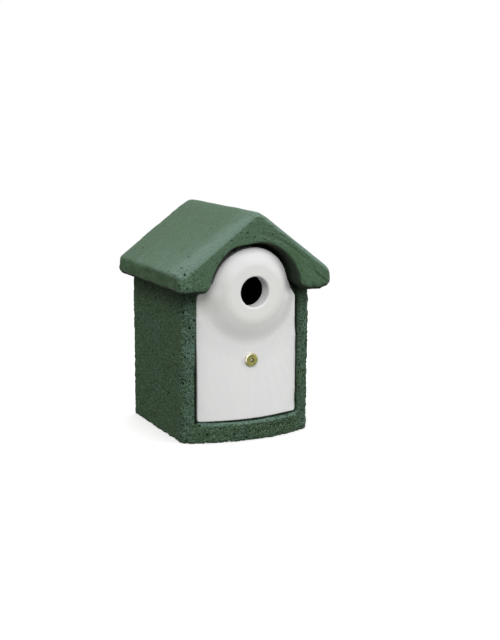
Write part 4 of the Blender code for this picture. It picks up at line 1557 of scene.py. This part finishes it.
@dataclass
class LiftOffFront(Casting):
    """Pale bowed front with its domed collar and entrance hole."""

    node: str = "front_panel"
    body: str = "front"
    finish: Finish = PaleCoat()
    voxel: float = 0.00080
    softening: int = 2
    seed: int = 37
    hole_height: float = 0.1593
    hole_radius: float = 0.0160
    bore_end: float = -0.0700
    bore_reach: float = 0.0040
    bore_growth: float = 0.0024
    collar: Span = (0.0290, 0.0571)
    skirt: tuple[Point, ...] = ((0.0285, 0.0570, 0.74), (0.0360, 0.0780, 0.26))
    face: float = -0.08395
    bow_front: float = -0.07445
    bow_radius: float = 0.1724
    head: Span = (0.0220, 0.0460)
    head_start: Span = (0.1560, 0.1490)
    head_squeeze: Span = (0.0400, 0.0870)
    head_drop: float = 0.0009
    head_top: Span = (0.185, 0.205)
    foot_rounding: float = 0.0026
    foot_slant: float = 0.0008
    side_start: float = 0.036
    side_growth: Span = (0.0002, 0.0010)
    shoulder_growth: Span = (0.0021, -0.0015)
    shoulder_start: Span = (0.0650, 0.0980)
    shoulder_end: float = 0.1430
    front_only: float = -0.060
    # Strengths of the painted shade on the collar's ring, on a ring round it and on its lower skirt, of
    # the darkening on the left shoulder, and of the painted shade over the front below the head's top,
    # which leaves the top lighter.
    ring_shade: float = 0.20
    brow_shade: float = 0.30
    skirt_shade: float = 0.13
    shoulder_darkening: float = 0.26
    below_crown_shade: float = 0.36
    unevenness: float = 0.07 * MILLIMETRE
    pinhole_radii: Span = (0.0007, 0.0010)
    marks: tuple[Mark, ...] = ((-51.0, -76.0, 121.0, 1.0),)

    def shape(self, points: Array) -> Array:
        """Eases the collar's skirt, narrows the head and rounds the corners of the foot."""
        low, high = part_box(self.node)
        x, y, z = points.T
        away = np.hypot(x, z - self.hole_height)
        y = self.ease_collar(x, y, away)
        outer = ramp(away, *self.head)
        start = np.where(x < 0, *self.head_start)
        squeeze = np.where(x < 0, *self.head_squeeze) * ramp(z, start, start + 0.010)
        x = x * (1 - squeeze * outer)
        z = z - self.head_drop * ramp(z, *self.head_top) * (1 + 0.3 * ramp(x, 0.005, 0.025))
        z = z + self.foot_slant * ramp(x, 0.0, high.x) * ramp(-z, -0.060, -0.030)
        inward, upward = round_off(high.x - np.abs(x), z - low.z, self.foot_rounding)
        growth, top = (np.where(x < 0, *pair) for pair in (self.side_growth, self.shoulder_growth))
        growth += (top - growth) * ramp(z, np.where(x < 0, *self.shoulder_start), self.shoulder_end)
        growth *= ramp(np.abs(x), self.side_start, high.x) * ramp(-z, -0.168, -0.152)
        return np.column_stack((np.sign(x) * (high.x - inward + growth), y, low.z + upward))

    def ease_collar(self, x: Array, y: Array, away: Array) -> Array:
        """Lets the collar run out softly into the bow, and deepens the end of the bore.

        Args:
            x: how far right the points lie.
            y: how far back they lie.
            away: how far they lie from the hole's axis.

        Returns:
            How far back they lie afterwards.
        """
        drawn = ramp(away, *self.collar)
        eased = sum(part * ramp(away, start, end) for start, end, part in self.skirt)
        drop = self.bow_front + self.bow_radius - np.sqrt(self.bow_radius**2 - x**2) - self.face
        near = ramp(self.face + drop * drawn - y, -0.0030, -0.0010)
        y = y + drop * (eased - drawn) * near
        first, last = self.bore_end - self.bore_reach, self.bore_end + self.bore_reach
        bore = (away < self.hole_radius + 0.0015) & (y > first) & (y < last)
        return np.where(bore, y + self.bore_growth * ramp(y, first, self.bore_end), y)

    def relief(self, points: Array, normals: Array) -> Relief:
        """A trowelled skin that is nearly flat, with hardly a pinhole."""
        scatter = Scatter(points, self.seed)
        x, y, z = points.T
        none = np.zeros(len(points))
        away = np.hypot(x, z - self.hole_height)
        # Painted shade on the collar's ring, on a ring round it and on its lower skirt, a darkening on the
        # left shoulder, and painted shade over the front below the head's top, which leaves the top
        # lighter.
        ring = ramp(-away, -0.030, -0.026) * (away > self.hole_radius + 0.0012)
        brow = ramp(-np.abs(away - 0.0325), -0.0070, -0.0020) * ramp(-z, -0.185, -0.165)
        skirt = ramp(-np.abs(away - 0.045), -0.014, -0.004) * ramp(-z, -0.165, -0.145)
        skirt *= 0.85 + 0.3 * scatter.swell(0.012, 2)
        shoulder = ramp(-x, 0.030, 0.043) * ramp(-np.abs(z - 0.149), -0.016, -0.004)
        crown = ramp(-z, -0.206, -0.188)
        stain_and_shade = self.ring_shade * ring + self.brow_shade * brow + self.skirt_shade * skirt
        stain_and_shade += self.shoulder_darkening * shoulder + self.below_crown_shade * crown
        pinholes = scatter.pits(0.0300, 0.25, self.pinhole_radii) * 0.4
        return Relief(
            lift=(scatter.swell(0.030, 2) - 1.2) * self.unevenness,
            pits=np.maximum(pinholes, self.set_pits(points)),
            rubbed_and_highlight=none,
            grime_and_shade=np.clip(stain_and_shade * (y < self.front_only), 0, 1),
            worn=none,
        )


# Latch


@dataclass
class TurnLatch:
    """Bolt through the front, with the bar that it turns behind the side walls."""

    body: str = "latch"
    head_diameter: float = 0.0142
    head_thickness: float = 0.0024
    head_chamfer: float = 0.0009
    rim: tuple[Span, ...] = ((1.5, 0.0444), (0.8, 0.2), (0.25, 0.6), (0.0, 1.2))
    # Direction across the head's face towards its painted highlight.
    highlight_way: Span = (-0.75, 0.66)
    shank_diameter: float = 0.0060
    thread_pitch: float = 0.0010
    thread_depth: float = 0.0005
    groove: tuple[Span, ...] = ((0, 0.0), (0, 0.12), (1, 0.48), (1, 0.64), (0, 1.0))
    plain_length: float = 0.0200
    socket_across_flats: float = 0.0040
    socket_depth: float = 0.0016
    dot_radius: float = 0.0008
    dot_depth: float = 0.0005
    bore_clearance: float = 0.0003
    nut_across_flats: float = 0.0100
    nut_face: float = 0.96
    nut_drop: float = 0.75
    nut_sink: float = 0.0005
    spring_lift: float = 0.0006
    spring_split: float = math.radians(16)
    bar_width: float = 0.0150
    edge: float = 0.0002

    def __post_init__(self) -> None:
        """Names the finishes and finds the axis."""
        self.zinc = PlatedSteel()
        self.steel = GalvanisedSteel()
        low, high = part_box("latch_bolt")
        self.axis = (low + high) / 2
        self.bore = self.shank_diameter / 2 + self.bore_clearance

    def build(self) -> list[bpy.types.Object]:
        """All six pieces, from the front's face to its back."""
        return [
            self.bolt(),
            self.washer(),
            self.spring_washer(),
            self.nut("latch_jam_nut"),
            self.bar(),
            self.nut("latch_lock_nut"),
        ]

    def ends(self, node: str) -> Span:
        """Y of a node's front and back."""
        low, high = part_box(node)
        return low.y, high.y

    def bolt(self) -> bpy.types.Object:
        """Round flat head with a chamfered rim and a hex socket, on a threaded shank."""
        face, tail = self.ends("latch_bolt")
        seat = face + self.head_thickness
        head = self.head_diameter / 2
        chamfer = self.head_chamfer
        shank = self.shank_diameter / 2
        plain_end = seat + self.plain_length
        profile = [(0, face + 0.02 * MILLIMETRE), (head - 2.6 * chamfer, face)]
        profile += [(head - into * chamfer, face + drop * chamfer) for into, drop in self.rim]
        profile += [
            (head, seat - self.edge),
            (head - self.edge, seat),
            (shank, seat),
            (shank, plain_end),
            (shank - self.thread_depth, plain_end + self.thread_depth),
            (0, plain_end + self.thread_depth),
        ]
        piece = Workpiece.turned("latch_bolt_turned", profile, self.axis, 96)
        socket = self.socket_across_flats / math.sqrt(3)
        bottom = face + self.socket_depth
        reach = (face - self.head_thickness, bottom)
        piece.work(Workpiece.rod("socket_tool", socket, reach, self.axis, 6))
        reach = (face + self.dot_depth, bottom + self.edge)
        piece.work(Workpiece.rod("dot_tool", self.dot_radius, reach, self.axis, 24), Joinery.WELD)
        piece.work(self.thread(plain_end, tail), Joinery.WELD)
        self.mark_head(piece)
        return piece.deliver(self.body, "latch_bolt", self.zinc, 32)

    def mark_head(self, piece: Workpiece) -> None:
        """Records the painted highlight on the upper left of the head's rim and on the dot in its socket,
        and the painted shade in the socket.
        """
        middle = (self.axis.x, self.ends("latch_bolt")[0], self.axis.z)
        x, deep, z = (piece.read_points() - np.array(middle)).T
        head, chamfer = self.head_diameter / 2, self.head_chamfer
        away = np.hypot(x, z)
        facing = (x * self.highlight_way[0] + z * self.highlight_way[1]) / head
        rim = ramp(away, head - 1.6 * chamfer, head - 0.8 * chamfer) * ramp(facing, 0.35, 0.75)
        dot = 0.6 * (deep < self.socket_depth)
        in_head = deep < self.head_thickness
        in_socket = (away < self.socket_across_flats / math.sqrt(3) + self.edge) & (deep > self.edge)
        piece.record(RUBBED_AND_HIGHLIGHT, np.where(away < 1.1 * self.dot_radius, dot, rim) * in_head)
        piece.record(GRIME_AND_SHADE, in_socket & in_head)

    def thread(self, start: float, end: float) -> Workpiece:
        """A threaded rod, drawn as one turn of the groove and wound along the axis.

        Args:
            start: Y where the rod starts inside the plain shank.
            end: Y of its tail.

        Returns:
            The rod.
        """
        root = self.shank_diameter / 2 - 0.01 * MILLIMETRE - self.thread_depth
        pitch = self.thread_pitch
        turns = math.ceil((end - start) / pitch) + 2
        first = start - pitch
        points = [(root + out * self.thread_depth, first + share * pitch, 0) for out, share in self.groove]
        piece = Workpiece.chain("thread_tool", points)
        piece.modifier(
            "SCREW",
            axis="Y",
            angle=math.tau,
            screw_offset=pitch,
            iterations=turns,
            steps=32,
            render_steps=32,
            use_merge_vertices=True,
            merge_threshold=0.005 * MILLIMETRE,
        )
        piece.thing.location = Vector((self.axis.x, 0, self.axis.z))
        piece.settle()
        piece.merge(0.005 * MILLIMETRE)
        with piece.editing(Part.CORNERS):
            for place, keep_far in ((start - self.edge, True), (end, False)):
                bpy.ops.mesh.select_all(action="SELECT")
                bpy.ops.mesh.bisect(
                    plane_co=(0, place, 0),
                    plane_no=(0, 1, 0),
                    use_fill=True,
                    clear_inner=keep_far,
                    clear_outer=not keep_far,
                )
        return piece.face_out()

    def washer(self) -> bpy.types.Object:
        """Flat washer, punched, with a rolled front edge."""
        front, back = self.ends("latch_washer")
        low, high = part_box("latch_washer")
        outer = (high.x - low.x) / 2
        soft = 1.5 * self.edge
        profile = [
            (self.bore, front + self.edge),
            (self.bore + self.edge, front),
            (outer - soft, front),
            (outer, front + soft),
            (outer, back - self.edge),
            (outer - self.edge, back),
            (self.bore + self.edge, back),
            (self.bore, back - self.edge),
            (self.bore, front + self.edge),
        ]
        piece = Workpiece.turned("latch_washer_turned", profile, self.axis)
        return piece.deliver(self.body, "latch_washer", self.zinc, 50)

    def spring_washer(self) -> bpy.types.Object:
        """Split ring, wound from its square section."""
        low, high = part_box("latch_spring_washer")
        outer = (high.z - low.z) / 2
        back = high.y - self.spring_lift
        corners = ((self.bore, low.y), (outer, low.y), (outer, back), (self.bore, back))
        section = [(radius, y, 0) for radius, y in (*corners, corners[0])]
        piece = Workpiece.chain("latch_spring_washer_wound", section).merge(SEAM)
        piece.modifier(
            "SCREW",
            axis="Y",
            angle=math.tau - self.spring_split,
            screw_offset=self.spring_lift,
            steps=64,
            render_steps=64,
        )
        piece.thing.rotation_euler = Euler((0, -self.spring_split / 2, 0))
        piece.thing.location = (self.axis.x, 0, self.axis.z)
        piece.settle()
        with piece.editing(Part.CORNERS):
            bpy.ops.mesh.select_all(action="SELECT")
            bpy.ops.mesh.fill_holes(sides=0)
        piece.face_out().bevel_sharp(0.8 * self.edge, 1.2)
        return piece.deliver(self.body, "latch_spring_washer", self.steel, 40)

    def nut(self, node: str) -> bpy.types.Object:
        """Hexagon nut with the corners turned off at both ends and a countersunk bore."""
        front, back = self.ends(node)
        corner = self.nut_across_flats / math.sqrt(3)
        flat = self.nut_across_flats / 2
        piece = Workpiece.rod(f"{node}_turned", corner, (front, back), self.axis, 6)
        with piece.editing():
            bpy.ops.mesh.select_all(action="SELECT")
            bpy.ops.transform.rotate(
                value=math.radians(30),
                orient_axis="Y",
                center_override=(self.axis.x, 0, self.axis.z),
            )
        face, drop = flat * self.nut_face, (corner - flat) * self.nut_drop
        half = [(0, front), (face, front), (corner, front + drop)]
        blank = half + [(radius, front + back - y) for radius, y in reversed(half)]
        piece.work(Workpiece.turned("nut_blank", blank, self.axis), Joinery.TRIM)
        sink = self.nut_sink
        bore = [
            (0, front - sink),
            (self.bore + 2 * sink, front - sink),
            (self.bore, front + sink),
            (self.bore, back - sink),
            (self.bore + 2 * sink, back + sink),
            (0, back + sink),
        ]
        piece.work(Workpiece.turned("nut_bore", bore, self.axis))
        return piece.deliver(self.body, node, self.zinc, 25)

    def bar(self) -> bpy.types.Object:
        """Flat bar with round ends, punched for the bolt."""
        front, back = self.ends("latch_bar")
        low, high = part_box("latch_bar")
        piece = Workpiece.block("latch_bar_punched", low, high)
        piece.bevel(
            lambda edge: abs((edge.verts[0].co - edge.verts[1].co).y) > 0.5 * (back - front),
            self.bar_width / 2 - 0.01 * MILLIMETRE,
            14,
        )
        reach = (front - self.edge, back + self.edge)
        piece.work(Workpiece.rod("bar_bore", self.bore, reach, self.axis, 48))
        piece.bevel_sharp(1.5 * self.edge)
        return piece.deliver(self.body, "latch_bar", self.steel, 40)


# Hanger


@dataclass
class BackHanger:
    """Bent strap on the back with its two screws and plugs."""

    body: str = "root"
    strip_thickness: float = 0.0020
    foot_length: float = 0.0220
    leg_run: float = 0.0050
    bend_radius: float = 0.0026
    corner_radius: float = 0.0035
    nail_hole: float = 0.0085
    screw_hole: float = 0.0042
    shank_diameter: float = 0.0036
    head_diameter: float = 0.0080
    head_thickness: float = 0.0028
    recess_width: float = 0.0010
    recess_length: float = 0.0046
    recess_depth: float = 0.0014
    thread_pitch: float = 0.0014
    crown: tuple[Span, ...] = (
        *((0.97, 0.0), (1.0, 0.06), (1.0, 0.28), (0.96, 0.52)),
        *((0.84, 0.77), (0.62, 0.93), (0.34, 1.0), (0, 1.0)),
    )
    plug_clearance: float = 0.0003
    plug_collar: float = 0.0012
    plug_tip: float = 0.0004
    plug_ribs: int = 6
    edge: float = 0.00025

    def __post_init__(self) -> None:
        """Names the finishes and finds the strap's place."""
        self.steel = GalvanisedSteel()
        self.plastic = GreyPlastic()
        self.low, self.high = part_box("hanger_bracket")

    def build(self) -> list[bpy.types.Object]:
        """The strap, the screws and the plugs."""
        pieces = [self.bracket()]
        for side in ("left", "right"):
            pieces += [self.screw(side), self.plug(side)]
        return pieces

    def bracket(self) -> bpy.types.Object:
        """Strap that stands off the wall, bent four times, with a nail hole."""
        low, high = self.low, self.high
        inner_foot = low.y
        inner_plate = high.y - self.strip_thickness
        leg_foot = high.x - self.foot_length
        leg_plate = leg_foot - self.leg_run
        right = [(leg_plate, inner_plate), (leg_foot, inner_foot), (high.x, inner_foot)]
        path = [(-x, y) for x, y in reversed(right)] + right
        piece = Workpiece.chain("hanger_bracket_bent", [(x, y, low.z) for x, y in path])
        with piece.editing(Part.CORNERS):
            bpy.ops.mesh.select_all(action="SELECT")
            rise = {"value": (0, 0, high.z - low.z)}
            bpy.ops.mesh.extrude_region_move(TRANSFORM_OT_translate=rise)
        piece.face_out().bevel(
            lambda edge: abs(edge.verts[0].co.z - edge.verts[1].co.z) > 0.01
            and abs(edge.verts[0].co.x) < leg_foot + self.edge,
            self.bend_radius,
            6,
        )
        faces_out = piece.thing.data.polygons[0].normal.y > 0
        piece.modifier(
            "SOLIDIFY", thickness=self.strip_thickness, offset=1.0 if faces_out else -1.0
        )
        piece.face_out().bevel(
            lambda edge: all(abs(vert.co.x) > high.x - self.edge for vert in edge.verts)
            and abs(edge.verts[0].co.y - edge.verts[1].co.y) > self.strip_thickness / 2,
            self.corner_radius,
            5,
        )
        middle = (low + high) / 2
        piece.work(
            Workpiece.rod(
                "nail_tool",
                self.nail_hole / 2,
                (inner_plate - self.strip_thickness, high.y + self.strip_thickness),
                Vector((0, 0, middle.z)),
            )
        )
        for side in ("left", "right"):
            piece.work(
                Workpiece.rod(
                    "screw_tool",
                    self.screw_hole / 2,
                    (inner_foot - self.strip_thickness, inner_foot + 2 * self.strip_thickness),
                    self.screw_axis(side),
                    32,
                )
            )
        piece.bevel_sharp(self.edge)
        return piece.deliver(self.body, "hanger_bracket", self.steel, 35)

    def screw_axis(self, side: str) -> Vector:
        """The centre of one screw."""
        low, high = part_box(f"hanger_screw_{side}")
        return (low + high) / 2

    def screw(self, side: str) -> bpy.types.Object:
        """Pan head screw with a cross recess and a thread."""
        node = f"hanger_screw_{side}"
        axis = self.screw_axis(side)
        tip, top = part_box(node)[0].y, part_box(node)[1].y
        seat = top - self.head_thickness
        head = self.head_diameter / 2
        shank = self.shank_diameter / 2
        profile = [(0, tip)]
        turns = int((seat - tip - self.shank_diameter) / self.thread_pitch)
        for turn in range(turns + 1):
            y = tip + self.shank_diameter * 0.6 + turn * self.thread_pitch
            profile += [(shank * 0.68, y), (shank, y + 0.35 * self.thread_pitch)]
        profile += [(shank * 0.80, seat - self.thread_pitch), (shank * 0.80, seat)]
        profile += [(head * across, seat + self.head_thickness * rise) for across, rise in self.crown]
        piece = Workpiece.turned(f"{node}_turned", profile, axis, 40)
        half_width, half_length = self.recess_width / 2, self.recess_length / 2
        for x, z in ((half_width, half_length), (half_length, half_width)):
            low = (axis.x - x, top - self.recess_depth, axis.z - z)
            high = (axis.x + x, top + MILLIMETRE, axis.z + z)
            piece.work(Workpiece.block("recess_tool", low, high))
        return piece.deliver(self.body, node, self.steel, 35)

    def plug(self, side: str) -> bpy.types.Object:
        """Ribbed plug with a collar, bored for the screw."""
        node = f"hanger_plug_{side}"
        low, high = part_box(node)
        axis = (low + high) / 2
        outer = (high.x - low.x) / 2
        bore = self.shank_diameter / 2 + self.plug_clearance
        collar = high.y - self.plug_collar
        profile = [(bore, high.y), (outer, high.y), (outer, collar)]
        run = (collar - low.y - self.plug_tip) / self.plug_ribs
        for rib in range(self.plug_ribs):
            y = collar - rib * run
            profile += [(outer * 0.86, y - 0.25 * run), (outer * 0.98, y - run)]
        profile += [(outer * 0.80, low.y), (bore, low.y), (bore, high.y)]
        piece = Workpiece.turned(f"{node}_moulded", profile, axis, 40)
        return piece.deliver(self.body, node, self.plastic, 35)


# Studio


@dataclass(frozen=True)
class SoftLamp:
    """A square soft box that faces the object."""

    name: str
    place: Point
    side: float
    watts: float
    colour: Colour = (1.0, 1.0, 1.0)
    target: Point = (0.0, 0.0, 0.11)

    def build(self) -> bpy.types.Object:
        """The lamp in its place."""
        data = bpy.data.lights.new(self.name, "AREA")
        data.shape = "SQUARE"
        data.size = self.side
        data.energy = self.watts
        data.color = self.colour
        lamp = bpy.data.objects.new(self.name, data)
        lamp.location = self.place
        aim = Vector(self.target) - Vector(self.place)
        lamp.rotation_euler = aim.to_track_quat("-Z", "Y").to_euler()
        bpy.context.scene.collection.objects.link(lamp)
        return lamp


@dataclass
class Studio:
    """White floor and surroundings, soft lamps and the camera."""

    camera_place: Point = (-0.54405, -1.18123, 0.35689)
    camera_forward: Point = (0.4329, 0.8828, -0.1821)
    camera_roll: float = math.radians(0.36)
    focal_length: float = 67.5
    film_height: float = 36.0
    floor_side: float = 12.0
    floor_tone: float = 0.72
    floor_bounce: float = 0.16
    floor_glow: float = 0.30
    ambient: Colour = (0.72, 0.72, 0.71)
    lamps: tuple[SoftLamp, ...] = (
        SoftLamp("top_lamp", (0.10, 0.10, 1.70), 1.0, 12.0),
        SoftLamp("key_lamp", (-0.55, -1.20, 1.12), 0.7, 13.0),
        SoftLamp("left_lamp", (-1.50, -0.10, 0.80), 0.8, 2.0),
        SoftLamp("right_lamp", (1.25, -1.05, 0.50), 0.8, 9.0),
    )

    def build(self) -> None:
        """Sets up everything round the object."""
        scene = bpy.context.scene
        scene.view_settings.view_transform = "Standard"
        self.surroundings()
        self.floor()
        for lamp in self.lamps:
            lamp.build()
        self.camera()

    def seen(self, board: Board) -> Wire:
        """1 for rays from the camera, from gloss and through glass."""
        seen = board.node("LightPath", output="Is Camera Ray")
        rays = seen.socket.node.outputs
        for word in ("Is Glossy Ray", "Is Transmission Ray"):
            values = {0: seen, 1: Wire(board, rays[word])}
            seen = board.node("Math", {"operation": "MAXIMUM"}, values)
        return seen

    def surroundings(self) -> None:
        """White where it is seen, and plain soft light for the rest."""
        world = bpy.data.worlds.new("white_room")
        bpy.context.scene.world = world
        board = Board(world)
        colour = board.blend(self.seen(board), self.ambient, (1.0, 1.0, 1.0))
        board.finish(board.node("Background", None, {"Color": colour, "Strength": 1.0}))

    def floor(self) -> None:
        """White floor that keeps the object's shadow."""
        clear_choice()
        bpy.ops.mesh.primitive_grid_add(x_subdivisions=8, y_subdivisions=8, size=self.floor_side)
        ground = Workpiece.added("studio_floor")
        material = bpy.data.materials.new("studio_floor")
        board = Board(material)
        white = (1.0, 1.0, 1.0)
        bounce = board.node("BsdfDiffuse", None, {"Color": (self.floor_bounce,) * 3})
        diffuse = board.node("BsdfDiffuse", None, {"Color": (self.floor_tone,) * 3})
        glow = board.node("Emission", None, {"Color": white, "Strength": self.floor_glow})
        near = board.node("AddShader", None, {0: diffuse, 1: glow})
        far = board.node("Emission", None, {"Color": white, "Strength": 1.0})
        away = board.node("VectorMath", {"operation": "LENGTH"}, {0: board.place()}, "Value")
        shown = board.node("MixShader", None, {0: away.above(0.35, 0.9), 1: near, 2: far})
        board.finish(board.node("MixShader", None, {0: self.seen(board), 1: bounce, 2: shown}))
        ground.thing.data.materials.append(material)

    def camera(self) -> None:
        """Camera at the photograph's place, angle and focal length."""
        data = bpy.data.cameras.new("photo_camera")
        data.sensor_fit = "VERTICAL"
        data.sensor_height = self.film_height
        data.lens = self.focal_length
        camera = bpy.data.objects.new("photo_camera", data)
        forward = Vector(self.camera_forward).normalized()
        right = forward.cross(Vector((0, 0, 1))).normalized()
        up = right.cross(forward)
        cos, sin = math.cos(self.camera_roll), math.sin(self.camera_roll)
        turned_right = cos * right + sin * up
        turned_up = cos * up - sin * right
        axes = Matrix((turned_right, turned_up, -forward)).transposed()
        camera.matrix_world = Matrix.Translation(self.camera_place) @ axes.to_4x4()
        bpy.context.scene.collection.objects.link(camera)
        bpy.context.scene.camera = camera


def main() -> None:
    """Builds the nest box piece by piece, then its studio."""
    logging.basicConfig(level=logging.INFO, format="%(name)s %(message)s")
    Studio().build()
    for casting in (NestBody(), GableRoof(), LiftOffFront()):
        casting.build()
    for fitting in (TurnLatch(), BackHanger()):
        fitting.build()


if __name__ == "__main__":
    main()
